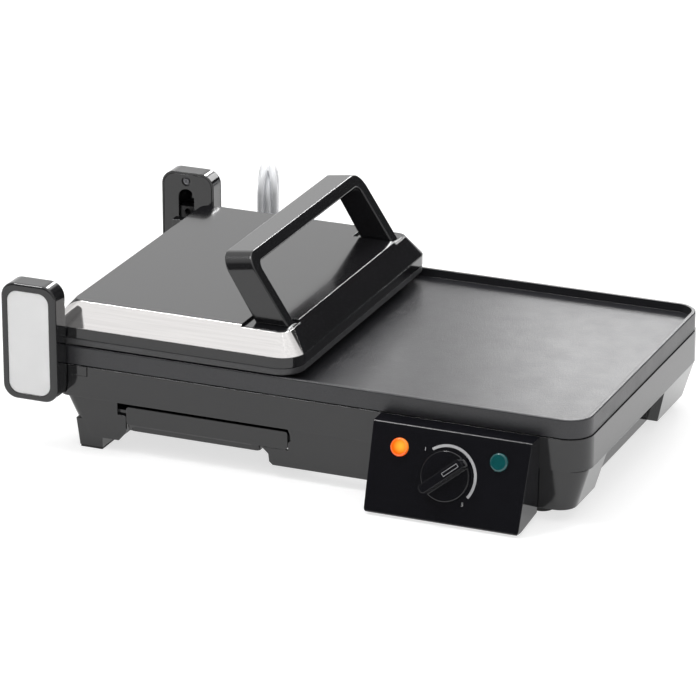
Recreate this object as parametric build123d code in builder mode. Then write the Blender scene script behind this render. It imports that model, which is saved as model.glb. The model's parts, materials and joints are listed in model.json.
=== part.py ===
from build123d import *
import os
from math import atan2, cos, degrees, radians, sin

os.makedirs("parts", exist_ok=True)

# A two-sided panini press, millimetres, +Z up, resting on z = 0. The origin is the middle of the
# footprint: X runs from the hinge towers (low) to the open griddle (high), the control panel
# faces -Y. Clearances come first, then the sizes of each group of pieces.

# ---- Clearances ------------------------------------------------------------------------------
running_fit = 0.05          # radial, a pin in its hole
slide_gap = 0.4             # a slider or drawer beside its guide
seat_gap = 0.15             # a trim piece in its recess
seam_gap = 0.6              # the dark line between two mouldings
rest_gap = 0.3              # pieces that rest close together without touching

# ---- Housing ---------------------------------------------------------------------------------
body_length = 441.0
body_depth = 280.0
body_corner = 20.0
hinge_corner = 8.0          # the corners beside the towers are tighter
wall = 2.5
skirt_z = 10.0              # underside of the lower housing
ledge_z = 42.3              # underside of the band
band_top_z = 68.4
skirt_step = 1.2            # the lower housing stands this far back from the band
skirt_corner = 14.0
left_slope_top = 4.4        # left end of the lower housing, from the band's left end
left_slope_low = 21.0
right_slope_low = 11.0      # right end of the lower housing, from the band's right end
flange_width = 14.0         # inner flange that the griddle stands on
flange_thickness = 3.0
flange_corner = 8.0
arch_front = 55.0           # the side recesses, from the body's front
arch_back_top = 191.0
arch_back_low = 203.7
arch_depth_right = 19.5
arch_depth_left = 30.0

# ---- Hinge towers ----------------------------------------------------------------------------
tower_width = 47.5
tower_shift = 1.25          # from a tower's middle to the line that the other sizes start from
tower_low_z = 40.7
tower_high_z = 137.4
tower_depth = 17.1
tower_gap = 1.7             # between a tower and the side of the lid
tower_corner = 12.0
tower_wall = 3.0
tower_face = 3.5            # thickness of the outer face
tower_to_body = 14.3        # tower centre to the band's left end
badge_width = 36.0
badge_height = 85.6
badge_low_z = 45.8
badge_corner = 9.0
badge_thickness = 0.8
cover_inset = 2.0           # the cover plate stands inside the tower's rim
cover_gap = 0.4             # the dark line round it
cover_thickness = 2.5
slot_offset = 2.6           # the slot and the hinge pin lie left of the tower's centre
slot_width = 14.3
slot_top_z = 122.6
cover_screw_top_z = 129.4
cover_screw_low_z = 52.0
badge_shift = 0.3           # the badge stands this far left of the tower's middle
badge_drop = 1.2            # depth of its recess
guide_width = 18.0          # the hinge slider
slider_depth = 8.4
slider_below = 8.1          # from the pin's axis down to the slider's end
slider_high_z = 106.5
guide_thickness = 2.0
guide_below = 8.0
ring_radius = 4.4
ring_bore = 2.6
collar_thickness = 1.5      # the pin's head inside the tower
collar_step = 2.0
ring_z = 102.0
hinge_pin_diameter = 8.0
lift_travel = 18.0          # how far the hinge rises for thick food
arm_left = 12.0             # the mounting arm, from the tower's centre
arm_elbow = 21.5
arm_reach = 39.2
arm_low_z = 60.6
bracket_low_z = 46.5
arm_depth = 12.5            # how far an arm enters the housing
arm_screw_x = 33.0
arm_screw_y = 8.0

# ---- Lid -------------------------------------------------------------------------------------
lid_offset = 6.0            # tower centre to the lid's left end
lid_length = 212.4
lid_margin = 0.4            # between the lid's side and the body's
lid_corner = 19.0
lid_top_corner = 8.0
bevel_hinge_corner = 9.0
trim_end_front = 9.2        # the slanted end of the steel trim, from the lid's front
trim_end_back = 29.3
lid_screw_inset = 24.0
plate_screw_inset = 9.0
plate_screw_spread = 62.0
lid_seam_z = 90.7
bevel_base_z = 99.8
lid_top_z = 117.6
bevel_run = 15.0
lid_wall = 2.6
steel_thickness = 0.9
frame_flange = 16.0         # inner flange of the lid frame
frame_flange_thickness = 2.5
ear_front = 4.0             # hinge ears, from the body's front and back
ear_thickness = 8.0
ear_radius = 7.0
upper_rim_z = 85.4          # lower edge of the upper plate's rim
upper_slab = 3.3
upper_block_z = 80.5
upper_pocket_z = 84.5

# ---- Handle ----------------------------------------------------------------------------------
handle_width = 23.3         # along X, at the top
handle_foot_width = 27.5
handle_right = 199.6        # right foot edge from the tower's centre, at the lid's top
handle_lean = 0.655         # leftward lean, per unit of height
handle_front = 27.0         # outer face of the front leg, from the body's front
leg_thickness = 12.0
bar_thickness = 9.4
handle_high_z = 169.6
handle_top_tilt = 7.5       # degrees; the grip rises to the right
handle_outer_radius = 14.0
socket_left = 166.6         # the foot's recess in the lid, from the tower's centre
socket_right = 206.6
socket_front = 14.3
socket_back = 41.6
socket_drop = 2.0
socket_plate = 2.9          # thickness of the plate in the recess
handle_screw_left = 8.0     # the foot's two screws, from its middle
handle_screw_right = 4.0

# ---- Griddle and upper plate -----------------------------------------------------------------
rim_top_z = 84.2
rim_inset = 0.8
rim_wall = 3.2
griddle_floor_z = 77.2
griddle_base_z = 72.0
spout_diameter = 9.0
spout_reach_x = 140.0       # drain spout, from the tower's centre
spout_reach_y = 9.6         # and from the body's front
rib_pitch = 9.0
rib_height = 3.0
rib_width = 3.4
plate_margin = 9.0          # the ribbed block stands this far inside the rim at its free end
plate_side_margin = 24.0    # and this far inside it at the front and back
plate_hinge_margin = 17.5   # and this far inside it on the hinge side
element_diameter = 6.6
element_bend = 40.0
element_inset = 60.0        # the griddle's heater, from the body's sides and right end
element_left = 45.0
pin_length = 14.0           # a heater's cold ends
pin_radius = 1.6
channel_width = 11.0
channel_height = 3.5
griddle_boss_inset = 8.2
probe_length = 44.0
probe_radius = 2.2
griddle_boss_end = 62.0     # outer bosses, from the body's ends
shield_sheet = 0.8
shield_gap = 2.5            # from the griddle's flange in to the shield's pan
pan_low_z = 57.0
upper_block_wall = 4.0
upper_block_corner = 12.0
upper_bend_left = 30.0      # the upper heater, from the ribbed block's sides
upper_bend_right = 28.0
upper_bend_side = 32.0
rib_end = 18.0              # ribs stop this far inside the block
rib_slope = 78.0            # degrees, the ribs' flanks

# ---- Control panel ---------------------------------------------------------------------------
panel_from_right = 101.1    # panel centre from the body's right end
panel_width_top = 129.0
panel_width_low = 125.6
panel_top_reach = 16.0
panel_reach = 40.5
panel_low_z = 1.8
panel_rise = 6.4            # height of the pod's underside where it meets the housing
panel_wall = 2.5
panel_corner = 4.0
knob_drop = 34.2            # along the face from its top edge
knob_diameter = 39.0
knob_gap = 0.8
knob_disc = 3.6
grip_length = 41.0
grip_width = 9.0
grip_height = 14.5
knob_angle = 40.3           # the pointer's direction at rest, counter-clockwise from +X
shaft_diameter = 6.0
lamp_from_side = 24.1       # lamp centre from the panel's side
lamp_drop = 17.6
panel_screw_inset = 3.8
panel_screw_drop = 9.4      # upper screws, below the band's top
panel_screw_rise = 10.0     # lower screws, above the housing's underside
panel_boss_length = 11.0
window_reach = 50.0         # the housing's window behind the pod, from the panel's centre
window_low_rise = 5.0
window_high_rise = 12.0
knob_hollow = 16.0
grip_corner = 3.0
grip_taper = 4.0            # degrees
shaft_reach = 12.4
neck_radius = 5.0           # the thermostat's threaded neck
thermostat_width = 30.0
thermostat_height = 26.0
thermostat_depth = 13.0
nut_radius = 8.0
nut_thickness = 2.0
lens_thickness = 2.6
lens_round = 1.8
bulb_radius = 4.0
bulb_length = 20.0
lamp_diameter = 14.4
lamp_hole = 10.6

# ---- Drip tray -------------------------------------------------------------------------------
bay_left = 64.9             # all from the tower's centre
bay_right = 214.2
bay_length = 213.0
bay_roof_z = 41.6
bay_wall = 2.0
tray_front_left = 72.7
tray_front_right = 210.5
tray_lip_right = 180.3
tray_front_low_z = 24.5
tray_front_high_z = 39.4
tray_low_z = 18.7
tray_box_left = 76.3
tray_box_right = 186.3
tray_length = 195.0
tray_wall = 1.6
rail_top_z = 35.5
rail_thickness = 6.5
lip_corner = 4.0
lip_setback = 0.4           # the lip behind the face plate's front
lip_slant = 3.0
lip_end = 6.0
lip_overlap = 2.5
tray_face = 2.4             # thickness of the face plate
tray_face_corner = 2.2
tray_corner = 3.0
tray_flange = 5.5           # the flange that runs on each rail
tray_flange_start = 10.0
tray_rise = 0.8             # the tray's floor above its lip
mouth_top_right = 210.9     # the bay's mouth: the top's right end, from the tower's centre
mouth_shoulder_z = 33.4     # then the heights where its right side turns
mouth_plate_z = 30.5
mouth_notch_z = 24.2
mouth_notch_low_z = 18.8
mouth_foot_z = 12.6
mouth_left_low_z = 17.5     # and those where its left side turns
mouth_left_plate_z = 31.4
mouth_left_z = 31.8
mouth_notch_near = 2.0      # the right notch's corners, from the tray's side
mouth_notch_far = 8.0
mouth_foot_near = 8.7
mouth_foot_far = 13.0

# ---- Feet and bottom cover -------------------------------------------------------------------
foot_diameter = 18.0
foot_from_right = 42.8
foot_from_front = 26.0
peg_diameter = 5.0
foot_pad = 1.8
block_left = 31.8           # foot blocks at the hinge end, from the tower's centre
block_left_top = 28.8       # their left face leans out to this
block_right = 51.3
block_top_z = 24.0
block_depth = 24.0
block_step = 0.25           # they stand this far behind the housing's front and back
cover_sheet = 1.4
cover_lap = 7.0
cover_from_right = 58.0
cover_from_front = 16.0
cover_from_bay = 8.0
cover_corner = 4.0
cover_boss = 9.0            # height of the bosses for its screws
vent_length = 22.0
vent_width = 4.0
vent_pitch_x = 30.0
vent_pitch_y = 14.0
vent_columns = 3
vent_rows = 5
terminal_shift = 30.0       # the mains terminal block, from the bottom cover's middle
terminal_from_back = 14.0
terminal_length = 36.0
terminal_width = 14.0
terminal_height = 11.0
terminal_lift = 3.0
wire_slot_spread = 11.0
wire_slot_length = 10.0
wire_slot_depth = 4.0

# ---- Screws ----------------------------------------------------------------------------------
screw_radius = 1.5
head_radius = 2.8
head_height = 2.0
boss_radius = 3.6
screw_grip = 8.0            # thread in a boss

# ---- Cord ------------------------------------------------------------------------------------
cord_diameter = 6.0
cord_x = 56.1               # strain relief, from the tower's centre
cord_z = 19.5
relief_reach = 23.0
relief_neck = 5.0           # radius of the part in the wall
relief_root = 5.2           # radius of its tapered part at the housing, then at its tip
relief_tip = 3.7
hank_gap = 38.0             # from the body's back to the hank
hank_width = 18.2
hank_depth = 42.0
hank_height = 134.0
hank_turn = 22.6            # degrees, counter-clockwise from above
cord_bite = 1.0             # how far the cord's ends go into the hank
tail_length = 50.0
tail_z = 10.5
plug_length = 34.0
plug_width = 26.0
plug_height = 21.0
plug_shoulder = 10.0
plug_corner = 4.0
blade_width = 6.3
blade_thickness = 1.5
blade_spacing = 12.7
blade_shift = 5.0
ground_offset = 11.9        # the round pin, from the blades
ground_radius = 2.4
pin_reach = 17.0
tie_width = 4.0
tie_thickness = 1.1

# ---- Places worked out from the sizes --------------------------------------------------------
overall_length = tower_width / 2 + tower_shift + tower_to_body + body_length
overall_depth = panel_reach + body_depth + tower_gap + tower_depth
tower_x = -overall_length / 2 + tower_width / 2 + tower_shift
tower_mid = tower_x - tower_shift
body_left = tower_x + tower_to_body
body_right = body_left + body_length
body_x = (body_left + body_right) / 2
body_front = -overall_depth / 2 + panel_reach
body_back = body_front + body_depth
body_y = (body_front + body_back) / 2
hinge_x = tower_x - slot_offset
hinge_z = handle_high_z / 2 + rest_gap      # so that the opened lid lies level on its handle
slider_low_z = hinge_z - slider_below
lid_left = tower_x + lid_offset
lid_right = lid_left + lid_length
lid_x = (lid_left + lid_right) / 2
lid_depth = body_depth - 2 * lid_margin
lid_front = body_y - lid_depth / 2
lid_back = body_y + lid_depth / 2
panel_x = body_right - panel_from_right
lamp_spread = panel_width_top / 2 - lamp_from_side
panel_lean = degrees(atan2(panel_reach - panel_top_reach, band_top_z - panel_low_z))
panel_height = (band_top_z - panel_low_z) / cos(radians(panel_lean))
face_normal = Vector(0, -cos(radians(panel_lean)), sin(radians(panel_lean)))
panel_face = Plane(
    origin=(panel_x, body_front - panel_top_reach, band_top_z), x_dir=(1, 0, 0), z_dir=face_normal
)
sides = (("front", -1), ("back", 1))


def write(piece, name):
    """Label a finished piece and write its STEP file."""
    piece.label = name
    export_step(piece, f"parts/{name}.step")


def mirrored_y(from_front, side):
    """The Y of a place measured from the body's front, or as far from its back."""
    return body_front + from_front if side < 0 else body_back - from_front


def plan(x_low, x_high, y_low, y_high, z, radius, left_radius=None):
    """A rectangle at height z whose left corners may have a radius of their own."""
    with BuildSketch(Plane.XY.offset(z)) as outline:
        with Locations(((x_low + x_high) / 2, (y_low + y_high) / 2)):
            Rectangle(x_high - x_low, y_high - y_low)
        fillet(outline.vertices().group_by(Axis.X)[0], left_radius or radius)
        fillet(outline.vertices().group_by(Axis.X)[-1], radius)
    return outline.sketch


def rounded_block(x_low, x_high, y_low, y_high, z_low, z_high, radius, left_radius=None):
    """A plain block with rounded vertical corners."""
    with BuildPart() as block:
        extrude(
            plan(x_low, x_high, y_low, y_high, z_low, radius, left_radius), amount=z_high - z_low
        )
    return block.part


def block(x_low, x_high, y_low, y_high, z_low, z_high):
    """A plain block between two corners."""
    with BuildPart() as solid:
        with Locations(((x_low + x_high) / 2, (y_low + y_high) / 2, (z_low + z_high) / 2)):
            Box(x_high - x_low, y_high - y_low, z_high - z_low)
    return solid.part


def rod(start, end, radius):
    """A plain cylinder between two points."""
    direction = Vector(*end) - Vector(*start)
    with BuildPart() as solid:
        with BuildSketch(Plane(origin=start, z_dir=direction)):
            Circle(radius)
        extrude(amount=direction.length)
    return solid.part


def screw(spot, away, length, head=head_height):
    """A screw whose head bears on spot and points away; its shank goes the other way."""
    seat = Plane(origin=spot, z_dir=away)
    with BuildPart() as fastener:
        with BuildSketch(seat):
            Circle(head_radius)
        extrude(amount=head)
        with BuildSketch(seat):
            Circle(screw_radius)
        extrude(amount=-length)
    return fastener.part


def lower_body(inset, low_z):
    """The sloping lower half of the housing, moved inward by inset and starting at low_z."""
    side = skirt_step + inset
    sections = [
        plan(
            body_left + left_slope + inset, body_right - right_slope - inset, body_front + side,
            body_back - side, z, skirt_corner - inset, hinge_corner - inset,
        )
        for z, left_slope, right_slope in (
            (skirt_z, left_slope_low, right_slope_low),
            (ledge_z, left_slope_top, skirt_step),
        )
    ]
    with BuildPart() as body:
        loft(sections, ruled=True)
        split(bisect_by=Plane.XY.offset(low_z), keep=Keep.TOP)
    return body.part


# ---- Housing ---------------------------------------------------------------------------------
# The side walls stand back between the feet, and the housing closes behind each recess.


def arch(grow):
    """Both side recesses as one solid, grown outward by grow."""
    with BuildPart() as recess:
        with BuildSketch(Plane.YZ.offset(body_right - arch_depth_right - grow)):
            with BuildLine():
                Polyline(
                    (body_front + arch_front - grow, 0),
                    (body_front + arch_front - grow, ledge_z + grow),
                    (body_front + arch_back_top + grow, ledge_z + grow),
                    (body_front + arch_back_low + grow, skirt_z),
                    (body_front + arch_back_low + grow, 0),
                    close=True,
                )
            make_face()
        extrude(amount=arch_depth_right + grow)
        with BuildSketch(Plane.YZ.offset(body_left)):
            with BuildLine():
                Polyline(
                    (body_front + arch_front - grow, 0),
                    (body_front + arch_front - grow, ledge_z + grow),
                    (body_back - arch_front + grow, ledge_z + grow),
                    (body_back - arch_front + grow, 0),
                    close=True,
                )
            make_face()
        extrude(amount=arch_depth_left + grow)
    return recess.part


def tower_arms(side, gap):
    """The mounting arm of a tower and the bracket below it, grown by gap inside the housing."""
    inner_face = body_front - tower_gap if side < 0 else body_back + tower_gap
    body_face = body_front if side < 0 else body_back
    high = band_top_z + (1 if gap else 0)
    with BuildPart() as arms:
        for start, left, right, low in (
            (inner_face, arm_left, arm_elbow, bracket_low_z),
            (body_face, arm_left, arm_reach, arm_low_z),
        ):
            end = body_face - side * (arm_depth + gap)
            add(
                block(
                    tower_x + left - gap, tower_x + right + gap, min(start, end),
                    max(start, end), low - min(gap, seat_gap), high,
                )
            )
    return arms.part


bay_x_low = tower_x + bay_left
bay_x_high = tower_x + bay_right
tray_x_low = tower_x + tray_box_left
tray_x_high = tower_x + tray_box_right
spout_x = tower_x + spout_reach_x
spout_y = body_front + spout_reach_y
flange_low_z = band_top_z - flange_thickness
floor_top_z = skirt_z + wall
sheet_left = bay_x_high + bay_wall + cover_from_bay
sheet_right = body_right - cover_from_right
sheet_front = body_front + cover_from_front
sheet_back = body_back - cover_from_front
sheet_x = (sheet_left + sheet_right) / 2

# Places of the screws and other things that pass from one piece into the next.
griddle_screw_spots = [
    (x, mirrored_y(griddle_boss_inset, side))
    for x in (body_left + griddle_boss_end, body_x, body_right - griddle_boss_end)
    for side in (-1, 1)
]
sheet_screw_spots = [
    (x, y)
    for x in (sheet_left + cover_lap / 2, sheet_right - cover_lap / 2)
    for y in (sheet_front + cover_lap / 2, sheet_back - cover_lap / 2)
]
foot_spots = [(body_right - foot_from_right, mirrored_y(foot_from_front, side)) for side in (-1, 1)]
arm_screw_spots = [(tower_x + arm_screw_x, mirrored_y(arm_screw_y, side)) for side in (-1, 1)]
panel_screw_reach = panel_width_low / 2 - panel_screw_inset
panel_screw_spots = [
    (panel_x + across, body_front + inset, z)
    for inset, z in (
        (0, band_top_z - panel_screw_drop), (skirt_step, skirt_z + panel_screw_rise)
    )
    for across in (-panel_screw_reach, panel_screw_reach)
]
terminal_x = sheet_x + terminal_shift
terminal_y = body_back - terminal_from_back
cord_exit_x = tower_x + cord_x

# The pod's window, the griddle's opening inside the flange, and the cover's opening below.
pod_window = block(
    panel_x - window_reach, panel_x + window_reach, body_front - 1,
    body_front + skirt_step + wall + 1, skirt_z + window_low_rise, ledge_z + window_high_rise,
)
flange_opening = rounded_block(
    body_left + flange_width, body_right - flange_width, body_front + flange_width,
    body_back - flange_width, flange_low_z - 1, band_top_z + 1, flange_corner,
)
service_opening = block(
    sheet_left + cover_lap, sheet_right - cover_lap, sheet_front + cover_lap,
    sheet_back - cover_lap, skirt_z - 1, floor_top_z + 1,
)
arches = arch(0)
thick_arches = arch(wall)
housing_cavity = lower_body(wall, floor_top_z) - thick_arches
housing_cavity += rounded_block(
    body_left + wall + skirt_step, body_right - wall - skirt_step,
    body_front + wall + skirt_step, body_back - wall - skirt_step,
    ledge_z - 1, ledge_z + wall + 1, body_corner - wall, hinge_corner - wall,
) - thick_arches
housing_cavity += rounded_block(
    body_left + wall, body_right - wall, body_front + wall, body_back - wall,
    ledge_z + wall, flange_low_z, body_corner - wall, hinge_corner - wall,
)

with BuildPart() as base_housing:
    add(lower_body(0, skirt_z))
    add(arches, mode=Mode.SUBTRACT)
    add(
        rounded_block(
            body_left, body_right, body_front, body_back, ledge_z, band_top_z, body_corner,
            hinge_corner,
        )
    )
    # Foot blocks under the hinge end.
    for side in (-1, 1):
        near = mirrored_y(skirt_step + block_step, side)
        with BuildSketch(Plane.XZ.offset(-near)):
            with BuildLine():
                Polyline(
                    (tower_x + block_left, foot_pad),
                    (tower_x + block_left_top, block_top_z),
                    (tower_x + block_right, block_top_z),
                    (tower_x + block_right, foot_pad),
                    close=True,
                )
            make_face()
        extrude(amount=side * block_depth)
    add(housing_cavity, mode=Mode.SUBTRACT)
    add(flange_opening, mode=Mode.SUBTRACT)
    add(service_opening, mode=Mode.SUBTRACT)
    add(pod_window, mode=Mode.SUBTRACT)
    # The tray bay: a tunnel with walls, a roof, a back and two rails.
    bay_front = body_front + skirt_step + wall / 2
    bay_back = body_front + bay_length
    add(
        block(
            bay_x_low - bay_wall, bay_x_high + bay_wall, bay_front, bay_back + bay_wall,
            skirt_z, bay_roof_z + bay_wall,
        )
    )
    bay_space_front = body_front + skirt_step + wall
    add(
        block(bay_x_low, bay_x_high, bay_space_front, bay_back, skirt_z - 1, bay_roof_z),
        mode=Mode.SUBTRACT,
    )
    # The bay's mouth in the front wall, with a notch beside the tray at each end.
    with BuildSketch(Plane.XZ.offset(-(bay_space_front + 0.5))):
        with BuildLine():
            Polyline(
                (bay_x_low, bay_roof_z),
                (tower_x + mouth_top_right, bay_roof_z),
                (bay_x_high, mouth_shoulder_z),
                (tower_x + tray_front_right + seam_gap, mouth_plate_z),
                (tower_x + tray_front_right + seam_gap, mouth_notch_z),
                (tray_x_high + mouth_notch_near, mouth_notch_z),
                (tray_x_high + mouth_notch_far, mouth_notch_low_z),
                (tray_x_high + mouth_foot_near, mouth_foot_z),
                (tray_x_high + mouth_foot_far, skirt_z - 1),
                (bay_x_low, skirt_z - 1),
                (tower_x + tray_front_left - seam_gap, mouth_left_low_z),
                (tower_x + tray_front_left - seam_gap, mouth_left_plate_z),
                (bay_x_low, mouth_left_z),
                close=True,
            )
        make_face()
    extrude(amount=wall + 2, mode=Mode.SUBTRACT)
    for rail_low, rail_high in (
        (bay_x_low - 0.5, tray_x_low - slide_gap),
        (tray_x_high + slide_gap, bay_x_high + 0.5),
    ):
        add(
            block(
                rail_low, rail_high, bay_space_front + slide_gap, bay_back + 0.5,
                rail_top_z - rail_thickness, rail_top_z,
            )
        )
    # Bosses for the arms' screws, each with a web to the nearest wall.
    for x, y in arm_screw_spots:
        wall_y = body_front + wall / 2 if y < body_y else body_back - wall / 2
        with BuildSketch(Plane.XY.offset(ledge_z)):
            with Locations((x, y)):
                Circle(boss_radius)
            with Locations((x, (y + wall_y) / 2)):
                Rectangle(wall, abs(y - wall_y))
        extrude(amount=arm_low_z - rest_gap - ledge_z)
        with Locations((x, y, ledge_z)):
            Box(
                2 * boss_radius, 2 * boss_radius, wall, align=(Align.CENTER, Align.CENTER, Align.MIN)
            )
    # Bosses for the bottom cover's and the terminal block's screws.
    for x, y in sheet_screw_spots + [(terminal_x, terminal_y)]:
        with Locations((x, y, skirt_z)):
            Cylinder(
                boss_radius, cover_boss if (x, y) in sheet_screw_spots else wall + terminal_lift,
                align=(Align.CENTER, Align.CENTER, Align.MIN),
            )
    # Windows for the towers' arms, then every hole.
    for side in (-1, 1):
        add(tower_arms(side, seam_gap), mode=Mode.SUBTRACT)
    for x, y in arm_screw_spots:
        add(
            rod((x, y, arm_low_z - 12), (x, y, band_top_z), screw_radius + running_fit),
            mode=Mode.SUBTRACT,
        )
    for x, y in griddle_screw_spots:
        add(
            rod((x, y, flange_low_z - 1), (x, y, band_top_z + 1), screw_radius + running_fit),
            mode=Mode.SUBTRACT,
        )
    for x, y in sheet_screw_spots + [(terminal_x, terminal_y)]:
        add(
            rod((x, y, skirt_z - 1), (x, y, skirt_z + 8), screw_radius + running_fit),
            mode=Mode.SUBTRACT,
        )
    for x, y in foot_spots:
        add(
            rod((x, y, skirt_z - 1), (x, y, floor_top_z + 1), peg_diameter / 2 + running_fit),
            mode=Mode.SUBTRACT,
        )
    for x, y, z in panel_screw_spots:
        add(
            rod((x, y - 1, z), (x, y + wall + 1, z), screw_radius + running_fit),
            mode=Mode.SUBTRACT,
        )
    for top in (band_top_z + 1, bay_roof_z + bay_wall + 1):
        add(
            rod((spout_x, spout_y, top - 5), (spout_x, spout_y, top), spout_diameter / 2 + 1.5),
            mode=Mode.SUBTRACT,
        )
    add(
        rod(
            (cord_exit_x, body_back - 8, cord_z), (cord_exit_x, body_back + 1, cord_z),
            relief_neck + running_fit,
        ),
        mode=Mode.SUBTRACT,
    )
write(base_housing.part, "base_housing")

with BuildPart() as bottom_cover:
    with BuildSketch(Plane.XY.offset(skirt_z - cover_sheet)):
        with Locations((sheet_x, body_y)):
            RectangleRounded(sheet_right - sheet_left, sheet_back - sheet_front, cover_corner)
        with Locations(*sheet_screw_spots):
            Circle(screw_radius + running_fit, mode=Mode.SUBTRACT)
        with Locations((sheet_x, body_y)):
            with GridLocations(vent_pitch_x, vent_pitch_y, vent_columns, vent_rows):
                SlotOverall(vent_length, vent_width, mode=Mode.SUBTRACT)
    extrude(amount=cover_sheet)
write(bottom_cover.part, "bottom_cover")

with BuildPart() as bottom_cover_screws:
    for x, y in sheet_screw_spots:
        add(screw((x, y, skirt_z - cover_sheet), (0, 0, -1), screw_grip, 1.6))
write(bottom_cover_screws.part, "bottom_cover_screws")

with BuildPart() as rubber_feet:
    for x, y in foot_spots:
        with BuildSketch(Plane.XY):
            with Locations((x, y)):
                Circle(foot_diameter / 2)
        extrude(amount=skirt_z)
        add(rod((x, y, skirt_z), (x, y, floor_top_z), peg_diameter / 2))
write(rubber_feet.part, "rubber_feet")

with BuildPart() as foot_pads:
    for side in (-1, 1):
        with BuildSketch(Plane.XY):
            with Locations(
                (
                    tower_x + (block_left + block_right) / 2,
                    mirrored_y(skirt_step + block_step + block_depth / 2, side),
                )
            ):
                RectangleRounded(block_right - block_left - slide_gap, block_depth - slide_gap, 1)
        extrude(amount=foot_pad)
write(foot_pads.part, "foot_pads")

# ---- Griddle and what heats it ---------------------------------------------------------------
rim_low_z = band_top_z + seam_gap
griddle_heater_points = [
    (body_right - element_inset, body_front + element_inset),
    (body_left + element_left, body_front + element_inset),
    (body_left + element_left, body_back - element_inset),
    (body_right - element_inset, body_back - element_inset),
]


def griddle_slab(inset, low, high):
    """The body's outline moved inward by inset, between two heights."""
    return rounded_block(
        body_left + inset, body_right - inset, body_front + inset, body_back - inset, low, high,
        body_corner - inset, hinge_corner - inset,
    )


with BuildPart() as griddle_plate:
    add(griddle_slab(rim_inset, rim_low_z, rim_top_z))
    fillet(edges().group_by(Axis.Z)[-1], 1.2)
    for low, high in ((griddle_floor_z, rim_top_z + 1), (rim_low_z - 1, griddle_base_z)):
        add(griddle_slab(rim_inset + rim_wall, low, high), mode=Mode.SUBTRACT)
    # The channel that holds the heater.
    element_z = griddle_base_z - element_diameter / 2 - running_fit
    with BuildSketch(Plane.XY.offset(griddle_base_z - channel_height)):
        with BuildLine():
            FilletPolyline(*griddle_heater_points, radius=element_bend)
        trace(line_width=channel_width)
    extrude(amount=channel_height + 0.5)
    for x, y in griddle_screw_spots:
        add(rod((x, y, band_top_z + 0.1), (x, y, griddle_base_z + 1), boss_radius))
    add(
        rod(
            (spout_x, spout_y, bay_roof_z - 1.6), (spout_x, spout_y, griddle_base_z + 1),
            spout_diameter / 2,
        )
    )
    add(
        rod(
            (spout_x, spout_y, bay_roof_z - 3), (spout_x, spout_y, griddle_floor_z + 1),
            spout_diameter / 2 - 1.5,
        ),
        mode=Mode.SUBTRACT,
    )
    for x, y in griddle_screw_spots:
        add(
            rod((x, y, band_top_z), (x, y, griddle_base_z), screw_radius + running_fit),
            mode=Mode.SUBTRACT,
        )


def heater(route_points, z):
    """A tubular heater in one bend, with a thinner pin at each end."""
    with BuildPart() as tube:
        with BuildLine(Plane.XY.offset(z)) as route:
            FilletPolyline(*route_points, radius=element_bend)
        start = route.line @ 0
        with BuildSketch(Plane(origin=start, z_dir=route.line % 0)):
            Circle(element_diameter / 2)
        sweep(path=route.line)
        for end in (route.line @ 0, route.line @ 1):
            add(rod(tuple(end), (end.X + pin_length, end.Y, end.Z), pin_radius))
    return tube.part


def groove(route_points, z):
    """The round-bottomed groove that a heater lies in."""
    with BuildPart() as cut:
        with BuildLine(Plane.XY.offset(z)) as route:
            FilletPolyline(*route_points, radius=element_bend)
        with BuildSketch(Plane(origin=route.line @ 0, z_dir=route.line % 0)):
            Circle(element_diameter / 2 + seat_gap)
        sweep(path=route.line)
    return cut.part


griddle_casting = griddle_plate.part - groove(griddle_heater_points, element_z)
write(griddle_casting, "griddle_plate")
write(heater(griddle_heater_points, element_z), "griddle_element")

with BuildPart() as griddle_screws:
    for x, y in griddle_screw_spots:
        add(screw((x, y, flange_low_z - 1.0), (0, 0, -1), griddle_base_z - flange_low_z))
write(griddle_screws.part, "griddle_screws")

pan_inset = flange_width + shield_gap
with BuildPart() as heat_shield:
    brim_z = flange_low_z - 0.1 - shield_sheet
    with BuildSketch(Plane.XY.offset(brim_z)):
        with Locations((body_x, body_y)):
            RectangleRounded(body_length - 10, body_depth - 10, body_corner - 5)
    extrude(amount=shield_sheet)
    with BuildSketch(Plane.XY.offset(pan_low_z)):
        with Locations((body_x, body_y)):
            RectangleRounded(
                body_length - 2 * pan_inset, body_depth - 2 * pan_inset, flange_corner
            )
    extrude(amount=brim_z - pan_low_z + shield_sheet / 2)
    with BuildSketch(Plane.XY.offset(pan_low_z + shield_sheet)):
        with Locations((body_x, body_y)):
            RectangleRounded(
                body_length - 2 * (pan_inset + shield_sheet),
                body_depth - 2 * (pan_inset + shield_sheet), flange_corner - shield_sheet,
            )
    extrude(amount=20, mode=Mode.SUBTRACT)
    for side in (-1, 1):
        near = mirrored_y(-1, side)
        far = mirrored_y(arm_depth + 2, side)
        add(
            block(
                body_left - 1, tower_x + arm_reach + 2, min(near, far), max(near, far),
                brim_z - 1, band_top_z,
            ),
            mode=Mode.SUBTRACT,
        )
    for x, y in griddle_screw_spots:
        add(
            rod((x, y, brim_z - 1), (x, y, brim_z + 2), screw_radius + running_fit),
            mode=Mode.SUBTRACT,
        )
    add(
        rod(
            (spout_x, spout_y, brim_z - 1), (spout_x, spout_y, brim_z + 2),
            spout_diameter / 2 + 1.5,
        ),
        mode=Mode.SUBTRACT,
    )
write(heat_shield.part, "heat_shield")

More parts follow.
